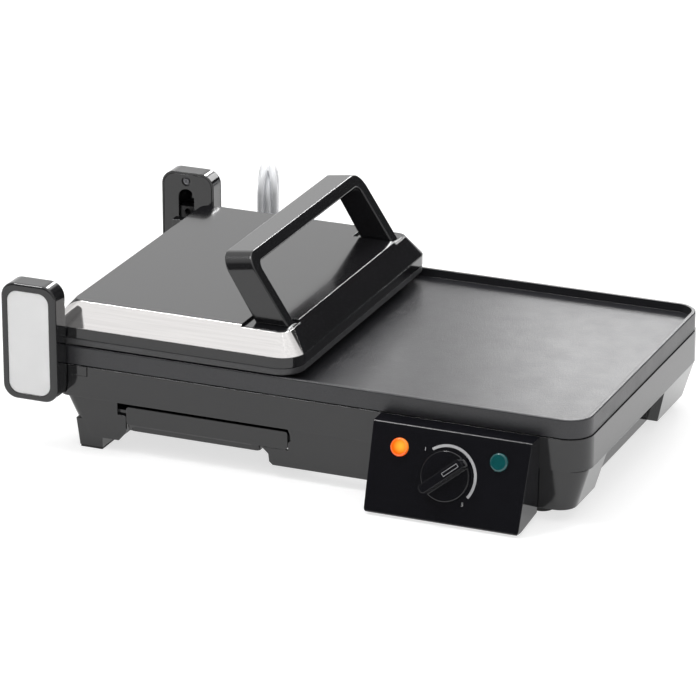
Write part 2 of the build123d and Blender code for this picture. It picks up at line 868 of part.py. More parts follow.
top_z = floor_top_z + terminal_lift + terminal_height
with BuildPart() as terminal_block:
    add(
        block(
            terminal_x - terminal_length / 2, terminal_x + terminal_length / 2,
            terminal_y - terminal_width / 2, terminal_y + terminal_width / 2,
            floor_top_z + terminal_lift, top_z,
        )
    )
    with Locations(
        (terminal_x - wire_slot_spread, terminal_y, top_z),
        (terminal_x + wire_slot_spread, terminal_y, top_z),
    ):
        Box(wire_slot_length, terminal_width - 6, 2 * wire_slot_depth, mode=Mode.SUBTRACT)
    add(
        rod((terminal_x, terminal_y, skirt_z), (terminal_x, terminal_y, top_z + 1),
            screw_radius + running_fit),
        mode=Mode.SUBTRACT,
    )
write(terminal_block.part, "terminal_block")
write(
    screw((terminal_x, terminal_y, top_z), (0, 0, 1), top_z - skirt_z - 1), "terminal_screw"
)

# ---- Drip tray -------------------------------------------------------------------------------
tray_face_y = body_front + skirt_step
tray_back_y = tray_face_y + tray_length
flange_z = rail_top_z + 0.2
flange_top_z = flange_z + tray_wall
with BuildPart() as tray_lip:
    lip_left = tower_x + tray_front_left + 1
    lip_right = tower_x + tray_lip_right
    with BuildSketch(Plane.YZ.offset(lip_left)):
        with BuildLine():
            Polyline(
                (tray_face_y + lip_setback, tray_front_low_z + lip_overlap),
                (tray_face_y + lip_setback, tray_front_low_z),
                (tray_face_y + lip_setback + lip_slant, tray_low_z),
                (tray_face_y + lip_end, tray_low_z),
                (tray_face_y + lip_end, tray_front_low_z + lip_overlap),
                close=True,
            )
        make_face()
    extrude(amount=lip_right - lip_left)
    # Its free end is rounded off below.
    with BuildSketch(Plane.XZ.offset(-tray_face_y)):
        with BuildLine():
            Polyline(
                (lip_left, tray_low_z),
                (lip_right, tray_low_z),
                (lip_right, tray_front_high_z),
                (lip_left, tray_front_high_z),
                close=True,
            )
        make_face()
        fillet(vertices().sort_by(Axis.X)[-2:].sort_by(Axis.Y)[0], lip_corner)
    extrude(amount=-(lip_end + 2), mode=Mode.INTERSECT)

with BuildPart() as drip_tray:
    add(
        block(
            tray_x_low, tray_x_high, tray_face_y + 1, tray_back_y, tray_low_z + tray_rise,
            flange_top_z,
        )
    )
    fillet(edges().filter_by(Axis.Z), tray_corner)
    add(
        block(
            tray_x_low - tray_flange, tray_x_high + tray_flange, tray_face_y + tray_flange_start,
            tray_back_y, flange_z, flange_top_z,
        )
    )
    add(
        block(
            tray_x_low + tray_wall, tray_x_high - tray_wall, tray_face_y + 4,
            tray_back_y - tray_wall, tray_low_z + tray_rise + tray_wall, flange_top_z + 1,
        ),
        mode=Mode.SUBTRACT,
    )
    # The face plate, and the dark lip that slants in below it.
    with BuildSketch(Plane.XZ.offset(-(tray_face_y + tray_face))):
        with Locations(
            (
                tower_x + (tray_front_left + tray_front_right) / 2,
                (tray_front_low_z + tray_front_high_z) / 2,
            )
        ):
            RectangleRounded(
                tray_front_right - tray_front_left, tray_front_high_z - tray_front_low_z,
                tray_face_corner,
            )
    extrude(amount=tray_face)
    add(tray_lip.part)
write(drip_tray.part, "drip_tray")

# ---- Control panel ---------------------------------------------------------------------------
pod_low_slope = (panel_rise - panel_low_z) / (panel_reach + skirt_step)


def pod_solid(inset):
    """The pod from the front, moved inward by inset on every side except its back."""
    deep = 80
    with BuildPart() as prism:
        with BuildSketch(panel_face.offset(-inset)):
            with BuildLine():
                Polyline(
                    (-panel_width_top / 2 + inset, 20),
                    (-panel_width_top / 2 + inset, 0),
                    (-panel_width_low / 2 + inset, -panel_height + inset),
                    (panel_width_low / 2 - inset, -panel_height + inset),
                    (panel_width_top / 2 - inset, 0),
                    (panel_width_top / 2 - inset, 20),
                    close=True,
                )
            make_face()
            fillet(vertices().group_by(Axis.Y)[0], panel_corner - inset / 2)
        extrude(amount=-deep)
    with BuildPart() as wedge:
        with BuildSketch(Plane.YZ.offset(panel_x - deep)):
            with BuildLine():
                Polyline(
                    (body_back, band_top_z),
                    (body_front - panel_top_reach, band_top_z),
                    (body_front - panel_reach, panel_low_z),
                    (body_back, panel_low_z + pod_low_slope * (body_depth + panel_reach)),
                    close=True,
                )
            make_face()
            if inset:
                offset(amount=-inset, kind=Kind.INTERSECTION)
        extrude(amount=2 * deep)
    return prism.part & wedge.part


def on_panel(across, down, lift=0.0):
    """A plane parallel to the panel's face at a place on it."""
    origin = panel_face.from_local_coords((across, -down, lift))
    return Plane(origin=origin, x_dir=(1, 0, 0), z_dir=face_normal)


def panel_rod(across, down, low, high, radius):
    """A cylinder square to the panel's face, between two heights above it."""
    with BuildPart() as solid:
        with BuildSketch(on_panel(across, down, low)):
            Circle(radius)
        extrude(amount=high - low)
    return solid.part


with BuildPart() as control_panel:
    add(pod_solid(0))
    add(
        block(
            panel_x - 90, panel_x + 90, body_front - 0.1, body_back + 10, -10, band_top_z + 10
        ),
        mode=Mode.SUBTRACT,
    )
    top_edge = edges().filter_by(Axis.X).filter_by(
        lambda edge: abs(edge.center().Y - body_front + panel_top_reach) < 0.5
    )
    fillet(top_edge, 1.8)
    fillet(edges().filter_by(Axis.X).sort_by(Axis.Y)[0], 1.2)
    add(
        pod_solid(panel_wall) & block(
            panel_x - 90, panel_x + 90, body_front - 60, body_front + 10, -10, band_top_z + 10
        ),
        mode=Mode.SUBTRACT,
    )
    for x, y, z in panel_screw_spots:
        add(rod((x, body_front - 0.1, z), (x, body_front - panel_boss_length, z), boss_radius))
        add(
            rod(
                (x, body_front + 1, z), (x, body_front - panel_boss_length + 2, z),
                screw_radius + running_fit,
            ),
            mode=Mode.SUBTRACT,
        )
    add(panel_rod(0, knob_drop, -6, 1, neck_radius + running_fit), mode=Mode.SUBTRACT)
    for side in (-1, 1):
        add(panel_rod(side * lamp_spread, lamp_drop, -6, 1, lamp_hole / 2), mode=Mode.SUBTRACT)
write(control_panel.part, "control_panel")

with BuildPart() as panel_screws:
    for x, y, z in panel_screw_spots:
        add(screw((x, y + wall, z), (0, 1, 0), y + wall - body_front + screw_grip))
write(panel_screws.part, "panel_screws")

with BuildPart() as dial_knob:
    with BuildSketch(on_panel(0, knob_drop, knob_gap)):
        Circle(knob_diameter / 2)
    extrude(amount=knob_disc)
    fillet(edges().sort_by(Axis.Z)[-1], 0.8)
    with BuildSketch(on_panel(0, knob_drop, knob_gap + knob_disc - 0.3)):
        with BuildLine():
            Polyline(
                (-grip_length / 2, -grip_width / 2 + 0.4),
                (grip_length / 2, -grip_width / 2),
                (grip_length / 2, grip_width / 2),
                (-grip_length / 2, grip_width / 2 - 0.4),
                close=True,
            )
        make_face()
        fillet(vertices(), grip_corner)
    grip = extrude(
        amount=grip_height - knob_gap - knob_disc, taper=grip_taper, mode=Mode.PRIVATE
    )
    axis = Axis(on_panel(0, knob_drop).origin, face_normal)
    add(grip.rotate(axis, knob_angle))
    add(panel_rod(0, knob_drop, 0, knob_gap + 2.2, knob_hollow), mode=Mode.SUBTRACT)
    add(
        panel_rod(0, knob_drop, 0, shaft_reach + 0.1, shaft_diameter / 2 + running_fit),
        mode=Mode.SUBTRACT,
    )
write(dial_knob.part, "dial_knob")
write(
    panel_rod(0, knob_drop, -panel_wall - 7, shaft_reach, shaft_diameter / 2), "thermostat_shaft"
)

with BuildPart() as thermostat:
    with BuildSketch(on_panel(0, knob_drop, -panel_wall - 0.1 - thermostat_depth)):
        RectangleRounded(thermostat_width, thermostat_height, 2)
    extrude(amount=thermostat_depth)
    add(panel_rod(0, knob_drop, -panel_wall - 1, 2.2, neck_radius))
    add(
        panel_rod(0, knob_drop, -panel_wall - 8, 3, shaft_diameter / 2 + running_fit),
        mode=Mode.SUBTRACT,
    )
write(thermostat.part, "thermostat")

with BuildPart() as thermostat_nut:
    with BuildSketch(on_panel(0, knob_drop, 0.05)):
        RegularPolygon(nut_radius, 6)
        Circle(neck_radius + running_fit, mode=Mode.SUBTRACT)
    extrude(amount=nut_thickness)
write(thermostat_nut.part, "thermostat_nut")

for name, side in (("power_lamp_lens", -1), ("ready_lamp_lens", 1)):
    with BuildPart() as lens:
        with BuildSketch(on_panel(side * lamp_spread, lamp_drop, 0.05)):
            Circle(lamp_diameter / 2)
        extrude(amount=lens_thickness)
        fillet(edges().sort_by(Axis.Y)[0], lens_round)
        add(panel_rod(side * lamp_spread, lamp_drop, -6, 1, lamp_hole / 2 - running_fit))
        add(
            panel_rod(side * lamp_spread, lamp_drop, -7, 0.9, bulb_radius + running_fit),
            mode=Mode.SUBTRACT,
        )
    write(lens.part, name)

with BuildPart() as pilot_lamps:
    for side in (-1, 1):
        add(panel_rod(side * lamp_spread, lamp_drop, -bulb_length, 0.6, bulb_radius))
write(pilot_lamps.part, "pilot_lamps")

# ---- Hinge towers ----------------------------------------------------------------------------
tower_height = tower_high_z - tower_low_z
tower_z = (tower_high_z + tower_low_z) / 2
slide_room = tower_depth - tower_face
arm_low_corner = tower_x + arm_left
slot_round_z = slot_top_z - slot_width / 2


def tower_y(side, outward):
    """The Y of a place this far outward from a tower's inner face."""
    inner = body_front - tower_gap if side < 0 else body_back + tower_gap
    return inner + side * outward


def tower_plane(side, outward):
    """The XZ plane this far outward from a tower's inner face."""
    return Plane.XZ.offset(-tower_y(side, outward))


def tower_block(side, x_low, x_high, near, far, z_low, z_high):
    """A plain block in a tower, with its depths measured outward from the inner face."""
    y_low, y_high = sorted((tower_y(side, near), tower_y(side, far)))
    return block(x_low, x_high, y_low, y_high, z_low, z_high)


def tower_rod(side, x, z, near, far, radius):
    """A cylinder along Y in a tower, with its depths measured outward from the inner face."""
    return rod((x, tower_y(side, near), z), (x, tower_y(side, far), z), radius)


cover_screw_spots = [(hinge_x, cover_screw_top_z), (hinge_x, cover_screw_low_z)]
for name, side in sides:
    with BuildPart() as shell:
        with BuildSketch(tower_plane(side, 0)):
            with Locations((tower_mid, tower_z)):
                RectangleRounded(tower_width, tower_height, tower_corner)
        extrude(amount=-side * tower_depth)
        fillet(faces().sort_by(Axis.Y)[0 if side < 0 else -1].edges(), 2)
        for outline_inset, deep in (
            (tower_wall, slide_room),
            (cover_inset - cover_gap, cover_thickness),
        ):
            with BuildSketch(tower_plane(side, 0)):
                with Locations((tower_mid, tower_z)):
                    RectangleRounded(
                        tower_width - 2 * outline_inset, tower_height - 2 * outline_inset,
                        tower_corner - outline_inset,
                    )
            extrude(amount=-side * deep, mode=Mode.SUBTRACT)
        # The recess for the badge, the slider's guides and stop, and the screws' bosses.
        with BuildSketch(tower_plane(side, tower_depth)):
            with Locations((tower_mid - badge_shift, badge_low_z + badge_height / 2)):
                RectangleRounded(badge_width, badge_height, badge_corner)
        extrude(amount=side * badge_drop, mode=Mode.SUBTRACT)
        for edge in (-1, 1):
            guide = hinge_x + edge * (guide_width / 2 + slide_gap + guide_thickness / 2)
            add(
                tower_block(
                    side, guide - guide_thickness / 2, guide + guide_thickness / 2,
                    cover_thickness + seam_gap, slide_room + 0.5, slider_low_z - guide_below,
                    slider_high_z + lift_travel,
                )
            )
        add(
            tower_block(
                side, hinge_x - guide_width / 2, hinge_x + guide_width / 2,
                cover_thickness + seam_gap, slide_room + 0.5, slider_low_z - guide_below,
                slider_low_z - rest_gap,
            )
        )
        add(
            tower_block(
                side, arm_low_corner, tower_mid + tower_width / 2 - 1, 0, slide_room + 0.5,
                bracket_low_z, band_top_z,
            )
        )
        add(tower_arms(side, 0))
        for x, z in cover_screw_spots:
            add(tower_rod(side, x, z, cover_thickness + 0.1, slide_room + 0.5, boss_radius))
        for x, z in cover_screw_spots:
            add(
                tower_rod(side, x, z, cover_thickness, slide_room - 1, screw_radius + running_fit),
                mode=Mode.SUBTRACT,
            )
        x, y = arm_screw_spots[0 if side < 0 else 1]
        for low, high, radius in (
            (arm_low_z - 1, band_top_z, screw_radius + running_fit),
            (band_top_z - head_height - 0.4, band_top_z + 1, head_radius + 0.3),
        ):
            add(rod((x, y, low), (x, y, high), radius), mode=Mode.SUBTRACT)
    write(shell.part, f"tower_{name}_shell")

    with BuildPart() as cover:
        with BuildSketch(tower_plane(side, 0)):
            with Locations((tower_mid, tower_z)):
                RectangleRounded(
                    tower_width - 2 * cover_inset, tower_height - 2 * cover_inset,
                    tower_corner - cover_inset,
                )
            with Locations((hinge_x, (slot_round_z + slider_low_z + 0.9) / 2)):
                Rectangle(slot_width, slot_round_z - slider_low_z - 0.9, mode=Mode.SUBTRACT)
            with Locations((hinge_x, slot_round_z)):
                Circle(slot_width / 2, mode=Mode.SUBTRACT)
            for x, z in cover_screw_spots:
                with Locations((x, z)):
                    Circle(screw_radius + running_fit, mode=Mode.SUBTRACT)
        extrude(amount=-side * (cover_thickness - 0.1))
        for x, z in cover_screw_spots:
            add(tower_rod(side, x, z, -1, 1.2, head_radius + 1.3), mode=Mode.SUBTRACT)
        add(
            tower_block(
                side, arm_low_corner - seat_gap, tower_x + tower_width, -1, cover_thickness + 1,
                bracket_low_z - seat_gap, band_top_z + seat_gap,
            ),
            mode=Mode.SUBTRACT,
        )
    write(cover.part, f"tower_{name}_cover")

    with BuildPart() as badge:
        with BuildSketch(tower_plane(side, tower_depth - badge_drop)):
            with Locations((tower_mid - badge_shift, badge_low_z + badge_height / 2)):
                RectangleRounded(
                    badge_width - 2 * seat_gap, badge_height - 2 * seat_gap, badge_corner - seat_gap
                )
        extrude(amount=-side * badge_thickness)
    write(badge.part, f"tower_{name}_badge")

    # The slider rises between the guides and carries the hinge pin.
    slider_near = cover_thickness + slide_gap
    with BuildPart() as slider:
        add(
            tower_block(
                side, hinge_x - guide_width / 2, hinge_x + guide_width / 2, slider_near,
                slider_near + slider_depth, slider_low_z, slider_high_z,
            )
        )
        fillet(edges().filter_by(Axis.Y), 2)
        add(tower_rod(side, hinge_x, ring_z, slider_near - 0.25, slider_near + 1, ring_radius))
        add(
            tower_rod(side, hinge_x, ring_z, slider_near - 1, slider_near + 4, ring_bore),
            mode=Mode.SUBTRACT,
        )
        add(
            tower_rod(
                side, hinge_x, hinge_z, 0, slide_room, hinge_pin_diameter / 2 + running_fit
            ),
            mode=Mode.SUBTRACT,
        )
    write(slider.part, f"slider_{name}")

with BuildPart() as cover_screws:
    for name, side in sides:
        for x, z in cover_screw_spots:
            add(screw((x, tower_y(side, 1.2), z), (0, -side, 0), 10, 1.1))
write(cover_screws.part, "cover_screws")

with BuildPart() as arm_screws:
    for x, y in arm_screw_spots:
        add(
            screw((x, y, band_top_z - head_height - 0.4), (0, 0, 1), 14, head_height - 0.2)
        )
write(arm_screws.part, "arm_screws")

with BuildPart() as hinge_pins:
    for name, side in sides:
        pin_end = tower_gap + ear_front + ear_thickness + 0.5
        add(
            tower_rod(
                side, hinge_x, hinge_z, -pin_end, slider_near + slider_depth,
                hinge_pin_diameter / 2,
            )
        )
        add(
            tower_rod(
                side, hinge_x, hinge_z, slider_near + slider_depth,
                slider_near + slider_depth + collar_thickness, hinge_pin_diameter / 2 + collar_step,
            )
        )
write(hinge_pins.part, "hinge_pins")

# ---- Lid -------------------------------------------------------------------------------------
frame_low_z = lid_seam_z + 0.2
frame_high_z = bevel_base_z - 0.1
flange_inner_z = frame_low_z + frame_flange_thickness
bevel_rise = lid_top_z - bevel_base_z
bevel_slope = atan2(bevel_rise, bevel_run)


def lid_slab(inset, low, high):
    """The lid's outline moved inward by inset, between two heights."""
    return rounded_block(
        lid_left + inset, lid_right - inset, lid_front + inset, lid_back - inset, low, high,
        max(lid_corner - inset, 4), max(hinge_corner - inset, 3),
    )


def bevel(depth):
    """The lid's bevelled top, moved inward by depth along each face."""
    sideways = depth / sin(bevel_slope)
    narrowing = bevel_run + (depth / sin(bevel_slope)) - depth * bevel_run / bevel_rise
    sections = [
        plan(
            lid_left + inset, lid_right - inset, lid_front + inset, lid_back - inset, z,
            radius, left_radius,
        )
        for z, inset, radius, left_radius in (
            (bevel_base_z, sideways, lid_corner - sideways, bevel_hinge_corner - sideways),
            (lid_top_z - depth, narrowing, lid_top_corner, lid_top_corner),
        )
    ]
    with BuildPart() as crown:
        loft(sections, ruled=True)
    return crown.part


lid_screw_spots = [
    (x, y)
    for x in (lid_left + lid_screw_inset, lid_right - lid_screw_inset)
    for y in (lid_front + lid_screw_inset, lid_back - lid_screw_inset)
]
plate_screw_spots = [
    (x, y)
    for x in (lid_x - plate_screw_spread, lid_x, lid_x + plate_screw_spread)
    for y in (lid_front + plate_screw_inset, lid_back - plate_screw_inset)
]
leg_x = tower_x + handle_right - handle_foot_width / 2
socket_x_low = tower_x + socket_left
socket_x_high = tower_x + socket_right
socket_z = lid_top_z - socket_drop
handle_screw_spots = [
    (leg_x + across, mirrored_y(handle_front + leg_thickness / 2, side))
    for across in (-handle_screw_left, handle_screw_right)
    for side in (-1, 1)
]

with BuildPart() as lid_frame:
    add(lid_slab(0, frame_low_z, frame_high_z))
    fillet(edges().group_by(Axis.Z)[0], 0.6)
    add(lid_slab(lid_wall, flange_inner_z, frame_high_z + 1), mode=Mode.SUBTRACT)
    add(lid_slab(frame_flange, frame_low_z - 1, frame_high_z), mode=Mode.SUBTRACT)
    for x, y in lid_screw_spots:
        add(rod((x, y, frame_low_z), (x, y, frame_high_z), boss_radius + 1.2))
        near_x = lid_left + lid_wall / 2 if x < lid_x else lid_right - lid_wall / 2
        add(block(min(x, near_x), max(x, near_x), y - 1.5, y + 1.5, frame_low_z, frame_high_z))
    # The hinge ears, each with a leg up to the frame's corner.
    for side in (-1, 1):
        near = mirrored_y(ear_front, side)
        far = mirrored_y(ear_front + ear_thickness, side)
        y_low, y_high = sorted((near, far))
        add(rod((hinge_x, y_low, hinge_z), (hinge_x, y_high, hinge_z), ear_radius))
        add(
            block(hinge_x - ear_radius, lid_left - 0.8, y_low, y_high, hinge_z, frame_high_z)
        )
        add(
            block(
                hinge_x - ear_radius, lid_left + lid_corner - 4, y_low, y_high, frame_low_z,
                frame_high_z,
            )
        )
        add(
            rod(
                (hinge_x, y_low - 1, hinge_z), (hinge_x, y_high + 1, hinge_z),
                hinge_pin_diameter / 2 + running_fit,
            ),
            mode=Mode.SUBTRACT,
        )
    for x, y in lid_screw_spots:
        add(
            rod((x, y, frame_low_z - 1), (x, y, frame_high_z + 1), screw_radius + running_fit),
            mode=Mode.SUBTRACT,
        )
        add(
            rod((x, y, frame_low_z - 1), (x, y, frame_low_z + 2.4), head_radius + 0.3),
            mode=Mode.SUBTRACT,
        )
    for x, y in plate_screw_spots:
        add(
            rod((x, y, frame_low_z - 1), (x, y, flange_inner_z + 1), screw_radius + running_fit),
            mode=Mode.SUBTRACT,
        )
write(lid_frame.part, "lid_frame")

trim_edge = bevel_run - 0.3


def trim_outline(grow):
    """The steel trim's share of the bevel: the front, and round the right corner to its end."""
    with BuildPart() as prism:
        with BuildSketch(Plane.XY.offset(bevel_base_z - 1)):
            with BuildLine():
                Polyline(
                    (lid_left - 5, lid_front - 5),
                    (lid_right + 7, lid_front - 5),
                    (lid_right + 7, lid_front + trim_end_front + grow),
                    (lid_right - bevel_run - 1, lid_front + trim_end_back + grow),
                    (lid_right - 2 * bevel_run, lid_front + trim_end_back + grow),
                    (lid_right - 2 * bevel_run, lid_front + trim_edge + grow),
                    (lid_left - 5, lid_front + trim_edge + grow),
                    close=True,
                )
            make_face()
        extrude(amount=bevel_rise + 2)
        # It stops short of the flat top, and of the floor of the handle's recess.
        add(
            rounded_block(
                lid_left + trim_edge + grow, lid_right - trim_edge - grow,
                lid_front + trim_edge + grow, lid_back, bevel_base_z - 1, lid_top_z + 1,
                lid_top_corner,
            ),
            mode=Mode.SUBTRACT,
        )
        add(
            block(
                socket_x_low - grow, lid_right + 7, lid_front - 5, lid_back,
                socket_z - seat_gap + grow, lid_top_z + 1,
            ),
            mode=Mode.SUBTRACT,
        )
    return prism.part


socket_skin = steel_thickness + 0.9
lid_front_trim = (bevel(0) - bevel(steel_thickness)) & trim_outline(0)
lid_front_trim -= block(
    lid_left - 1, lid_right + 1, lid_front - 1, lid_back, bevel_base_z - 1, bevel_base_z + 0.05
)
write(lid_front_trim, "lid_front_trim")

with BuildPart() as lid_cover:
    add(bevel(0))
    add((bevel(0) - bevel(steel_thickness + 0.1)) & trim_outline(seat_gap), mode=Mode.SUBTRACT)
    add(bevel(lid_wall + 1), mode=Mode.SUBTRACT)
    for x, y in lid_screw_spots:
        boss = rod((x, y, bevel_base_z), (x, y, lid_top_z), boss_radius)
        add(boss & bevel(steel_thickness + 1))
    for side in (-1, 1):
        pad_low, pad_high = sorted(
            (mirrored_y(socket_front, side), mirrored_y(socket_back + 3, side))
        )
        pad = block(
            socket_x_low - 3, socket_x_high, pad_low, pad_high, socket_z - 6, lid_top_z
        )
        add(pad & bevel(steel_thickness + 0.2))
    for side in (-1, 1):
        cut_low, cut_high = sorted(
            (mirrored_y(socket_front - bevel_run, side), mirrored_y(socket_back, side))
        )
        add(
            block(socket_x_low, lid_right, cut_low, cut_high, socket_z, lid_top_z + 1),
            mode=Mode.SUBTRACT,
        )
        cut_low, cut_high = sorted(
            (mirrored_y(socket_front, side), mirrored_y(socket_back, side))
        )
        pocket = block(
            socket_x_low, socket_x_high, cut_low, cut_high, socket_z - socket_plate - 0.1, socket_z
        )
        add(pocket & bevel(socket_skin), mode=Mode.SUBTRACT)
    for x, y in lid_screw_spots:
        add(
            rod((x, y, bevel_base_z - 1), (x, y, bevel_base_z + 9), screw_radius + running_fit),
            mode=Mode.SUBTRACT,
        )
    for x, y in handle_screw_spots:
        add(
            rod((x, y, socket_z - 8), (x, y, socket_z), screw_radius + running_fit),
            mode=Mode.SUBTRACT,
        )
write(lid_cover.part, "lid_cover")

with BuildPart() as lid_screws:
    for x, y in lid_screw_spots:
        add(screw((x, y, frame_low_z + 2.4), (0, 0, -1), 14))
write(lid_screws.part, "lid_screws")

for name, side in sides:
    low, high = sorted((mirrored_y(socket_front, side), mirrored_y(socket_back, side)))
    with BuildPart() as socket:
        add(
            block(
                socket_x_low + seat_gap, socket_x_high - seat_gap, low + seat_gap,
                high - seat_gap, socket_z - socket_plate, socket_z,
            )
        )
        for x, y in handle_screw_spots:
            add(
                rod((x, y, socket_z - 4), (x, y, socket_z + 1), screw_radius + running_fit),
                mode=Mode.SUBTRACT,
            )
    write(socket.part & bevel(socket_skin + seat_gap), f"handle_socket_{name}")

# The handle: a leaning bail whose grip rises to the right, cut from two crossed outlines.
tilt = radians(handle_top_tilt)
grip_plane = Plane(
    origin=(leg_x, 0, lid_top_z), x_dir=(0, 1, 0), z_dir=(cos(tilt), 0, sin(tilt))
)
leg_outer = body_depth / 2 - handle_front
grip_right_x = tower_x + handle_right - handle_lean * (handle_high_z - lid_top_z)
grip_rise = (leg_x - grip_right_x) * sin(tilt) + (handle_high_z - lid_top_z) * cos(tilt)
with BuildPart() as bail:
    with BuildSketch(grip_plane):
        with BuildLine():
            Polyline(
                (body_y - leg_outer, -20),
                (body_y - leg_outer, grip_rise),
                (body_y + leg_outer, grip_rise),
                (body_y + leg_outer, -20),
                (body_y + leg_outer - leg_thickness, -20),
                (body_y + leg_outer - leg_thickness, grip_rise - bar_thickness),
                (body_y - leg_outer + leg_thickness, grip_rise - bar_thickness),
                (body_y - leg_outer + leg_thickness, -20),
                close=True,
            )
        make_face()
        fillet(vertices().group_by(Axis.Y)[-2], handle_outer_radius - bar_thickness + 2)
        fillet(vertices().group_by(Axis.Y)[-1], handle_outer_radius)
    extrude(amount=120, both=True)

with BuildPart() as lean:
    with BuildSketch(Plane.XZ.offset(-body_back)):
        with BuildLine():
            Polyline(
                (tower_x + handle_right + handle_lean * socket_drop, socket_z),
                (grip_right_x, handle_high_z),
                (grip_right_x, handle_high_z + 5),
                (grip_right_x - handle_width, handle_high_z + 5),
                (grip_right_x - handle_width, handle_high_z - handle_width * sin(tilt)),
                (tower_x + handle_right - handle_foot_width + 1, socket_z),
                close=True,
            )
        make_face()
    extrude(amount=body_depth)

with BuildPart() as handle:
    add(bail.part & lean.part)
    fillet(edges().filter_by(lambda edge: edge.length > 20), 1.2)
    for x, y in handle_screw_spots:
        add(
            rod((x, y, socket_z - 1), (x, y, socket_z + 10), screw_radius + running_fit),
            mode=Mode.SUBTRACT,
        )
write(handle.part, "handle")

with BuildPart() as handle_screws:
    for x, y in handle_screw_spots:
        add(screw((x, y, socket_z - 6), (0, 0, -1), 15))
write(handle_screws.part, "handle_screws")

# ---- Upper plate and what heats it -----------------------------------------------------------
rim_step = 0.4
slab_z = lid_seam_z - upper_slab
block_x_low = lid_left + rim_step + plate_hinge_margin
block_x_high = lid_right - rim_step - plate_margin
block_y_low = lid_front + rim_step + plate_side_margin
block_y_high = lid_back - rim_step - plate_side_margin
upper_element_z = upper_pocket_z + element_diameter / 2 + running_fit
upper_heater_points = [
    (block_x_low + upper_bend_left, block_y_high - upper_bend_side),
    (block_x_high - upper_bend_right, block_y_high - upper_bend_side),
    (block_x_high - upper_bend_right, block_y_low + upper_bend_side),
    (block_x_low + upper_bend_left, block_y_low + upper_bend_side),
]
with BuildPart() as upper_plate:
    add(lid_slab(rim_step, upper_rim_z, lid_seam_z))
    fillet(edges().group_by(Axis.Z)[0], 0.8)
    add(lid_slab(rim_step + 3, upper_rim_z - 1, slab_z), mode=Mode.SUBTRACT)
    add(
        rounded_block(
            block_x_low, block_x_high, block_y_low, block_y_high, upper_block_z, slab_z + 0.5,
            upper_block_corner,
        )
    )
    add(
        rounded_block(
            block_x_low + upper_block_wall, block_x_high - upper_block_wall,
            block_y_low + upper_block_wall, block_y_high - upper_block_wall, upper_pocket_z,
            lid_seam_z + 1, upper_block_corner - upper_block_wall,
        ),
        mode=Mode.SUBTRACT,
    )
    with BuildSketch(Plane.XY.offset(upper_pocket_z - 0.5)):
        with BuildLine():
            FilletPolyline(*upper_heater_points, radius=element_bend)
        trace(line_width=channel_width)
    extrude(amount=channel_height)
    rib_count = int((block_x_high - block_x_low - 12) / rib_pitch)
    with BuildSketch(Plane.XZ.offset(-(block_y_high - rib_end))):
        with Locations(((block_x_low + block_x_high) / 2, upper_block_z + 0.5)):
            with GridLocations(rib_pitch, 1, rib_count, 1):
                Trapezoid(
                    rib_width, rib_height + 0.5, rib_slope, rotation=180,
                    align=(Align.CENTER, Align.MIN),
                )
    extrude(amount=block_y_high - block_y_low - 2 * rib_end)
    for x, y in plate_screw_spots:
        add(
            rod((x, y, slab_z + 0.5), (x, y, lid_seam_z + 1), screw_radius + running_fit),
            mode=Mode.SUBTRACT,
        )


def turned_heater(points, z):
    """A heater whose pins leave toward -X."""
    return mirror(heater([(-x, y) for x, y in points], z), about=Plane.YZ)


def turned_groove(points, z):
    """The groove for a heater whose pins leave toward -X."""
    return mirror(groove([(-x, y) for x, y in points], z), about=Plane.YZ)


write(upper_plate.part - turned_groove(upper_heater_points, upper_element_z), "upper_plate")
write(turned_heater(upper_heater_points, upper_element_z), "upper_element")

with BuildPart() as upper_reflector:
    add(lid_slab(lid_wall + 2, flange_inner_z + 0.1, flange_inner_z + 0.9))
    for x, y in plate_screw_spots:
        add(
            rod((x, y, frame_low_z), (x, y, frame_high_z), screw_radius + running_fit),
            mode=Mode.SUBTRACT,
        )
    for x, y in lid_screw_spots:
        near_x = lid_left if x < lid_x else lid_right
        add(rod((x, y, frame_low_z), (x, y, frame_high_z), boss_radius + 1.6), mode=Mode.SUBTRACT)
        add(
            block(min(x, near_x), max(x, near_x), y - 2, y + 2, frame_low_z, frame_high_z),
            mode=Mode.SUBTRACT,
        )
    # Corners cut away beside the hinge ears.
    for side in (-1, 1):
        near, far = sorted((mirrored_y(-1, side), mirrored_y(ear_front + ear_thickness + 2, side)))
        add(
            block(
                lid_left - 1, lid_left + lid_corner, near, far, frame_low_z, frame_high_z
            ),
            mode=Mode.SUBTRACT,
        )
write(upper_reflector.part, "upper_reflector")

with BuildPart() as upper_plate_screws:
    for x, y in plate_screw_spots:
        add(screw((x, y, flange_inner_z + 1.0), (0, 0, 1), frame_flange_thickness + 3.6))
write(upper_plate_screws.part, "upper_plate_screws")

# ---- Sensor under the griddle ----------------------------------------------------------------
probe_x = panel_x
probe_y = body_front + element_inset - channel_width - 2 * probe_radius
probe_z = griddle_base_z - probe_radius - 0.2
with BuildPart() as thermostat_probe:
    add(
        rod(
            (probe_x - probe_length / 2, probe_y, probe_z),
            (probe_x + probe_length / 2, probe_y, probe_z), probe_radius,
        )
    )
write(thermostat_probe.part, "thermostat_probe")

# ---- Mains cord ------------------------------------------------------------------------------
relief_wall_y = body_back - skirt_step
flange_end = 2.6
with BuildPart() as strain_relief:
    for near, far, radius in (
        (-wall - 2.1, -wall - 0.1, relief_neck + 1.2),
        (-wall - 0.2, 0.2, relief_neck),
        (0.1, flange_end, relief_neck + 1.5),
    ):
        add(
            rod(
                (cord_exit_x, relief_wall_y + near, cord_z),
                (cord_exit_x, relief_wall_y + far, cord_z), radius,
            )
        )
    for reach, radius in ((flange_end - 0.1, relief_root), (relief_reach, relief_tip)):
        with BuildSketch(Plane.XZ.offset(-relief_wall_y - reach)):
            with Locations((cord_exit_x, cord_z)):
                Circle(radius)
    loft(ruled=True)
write(strain_relief.part, "strain_relief")

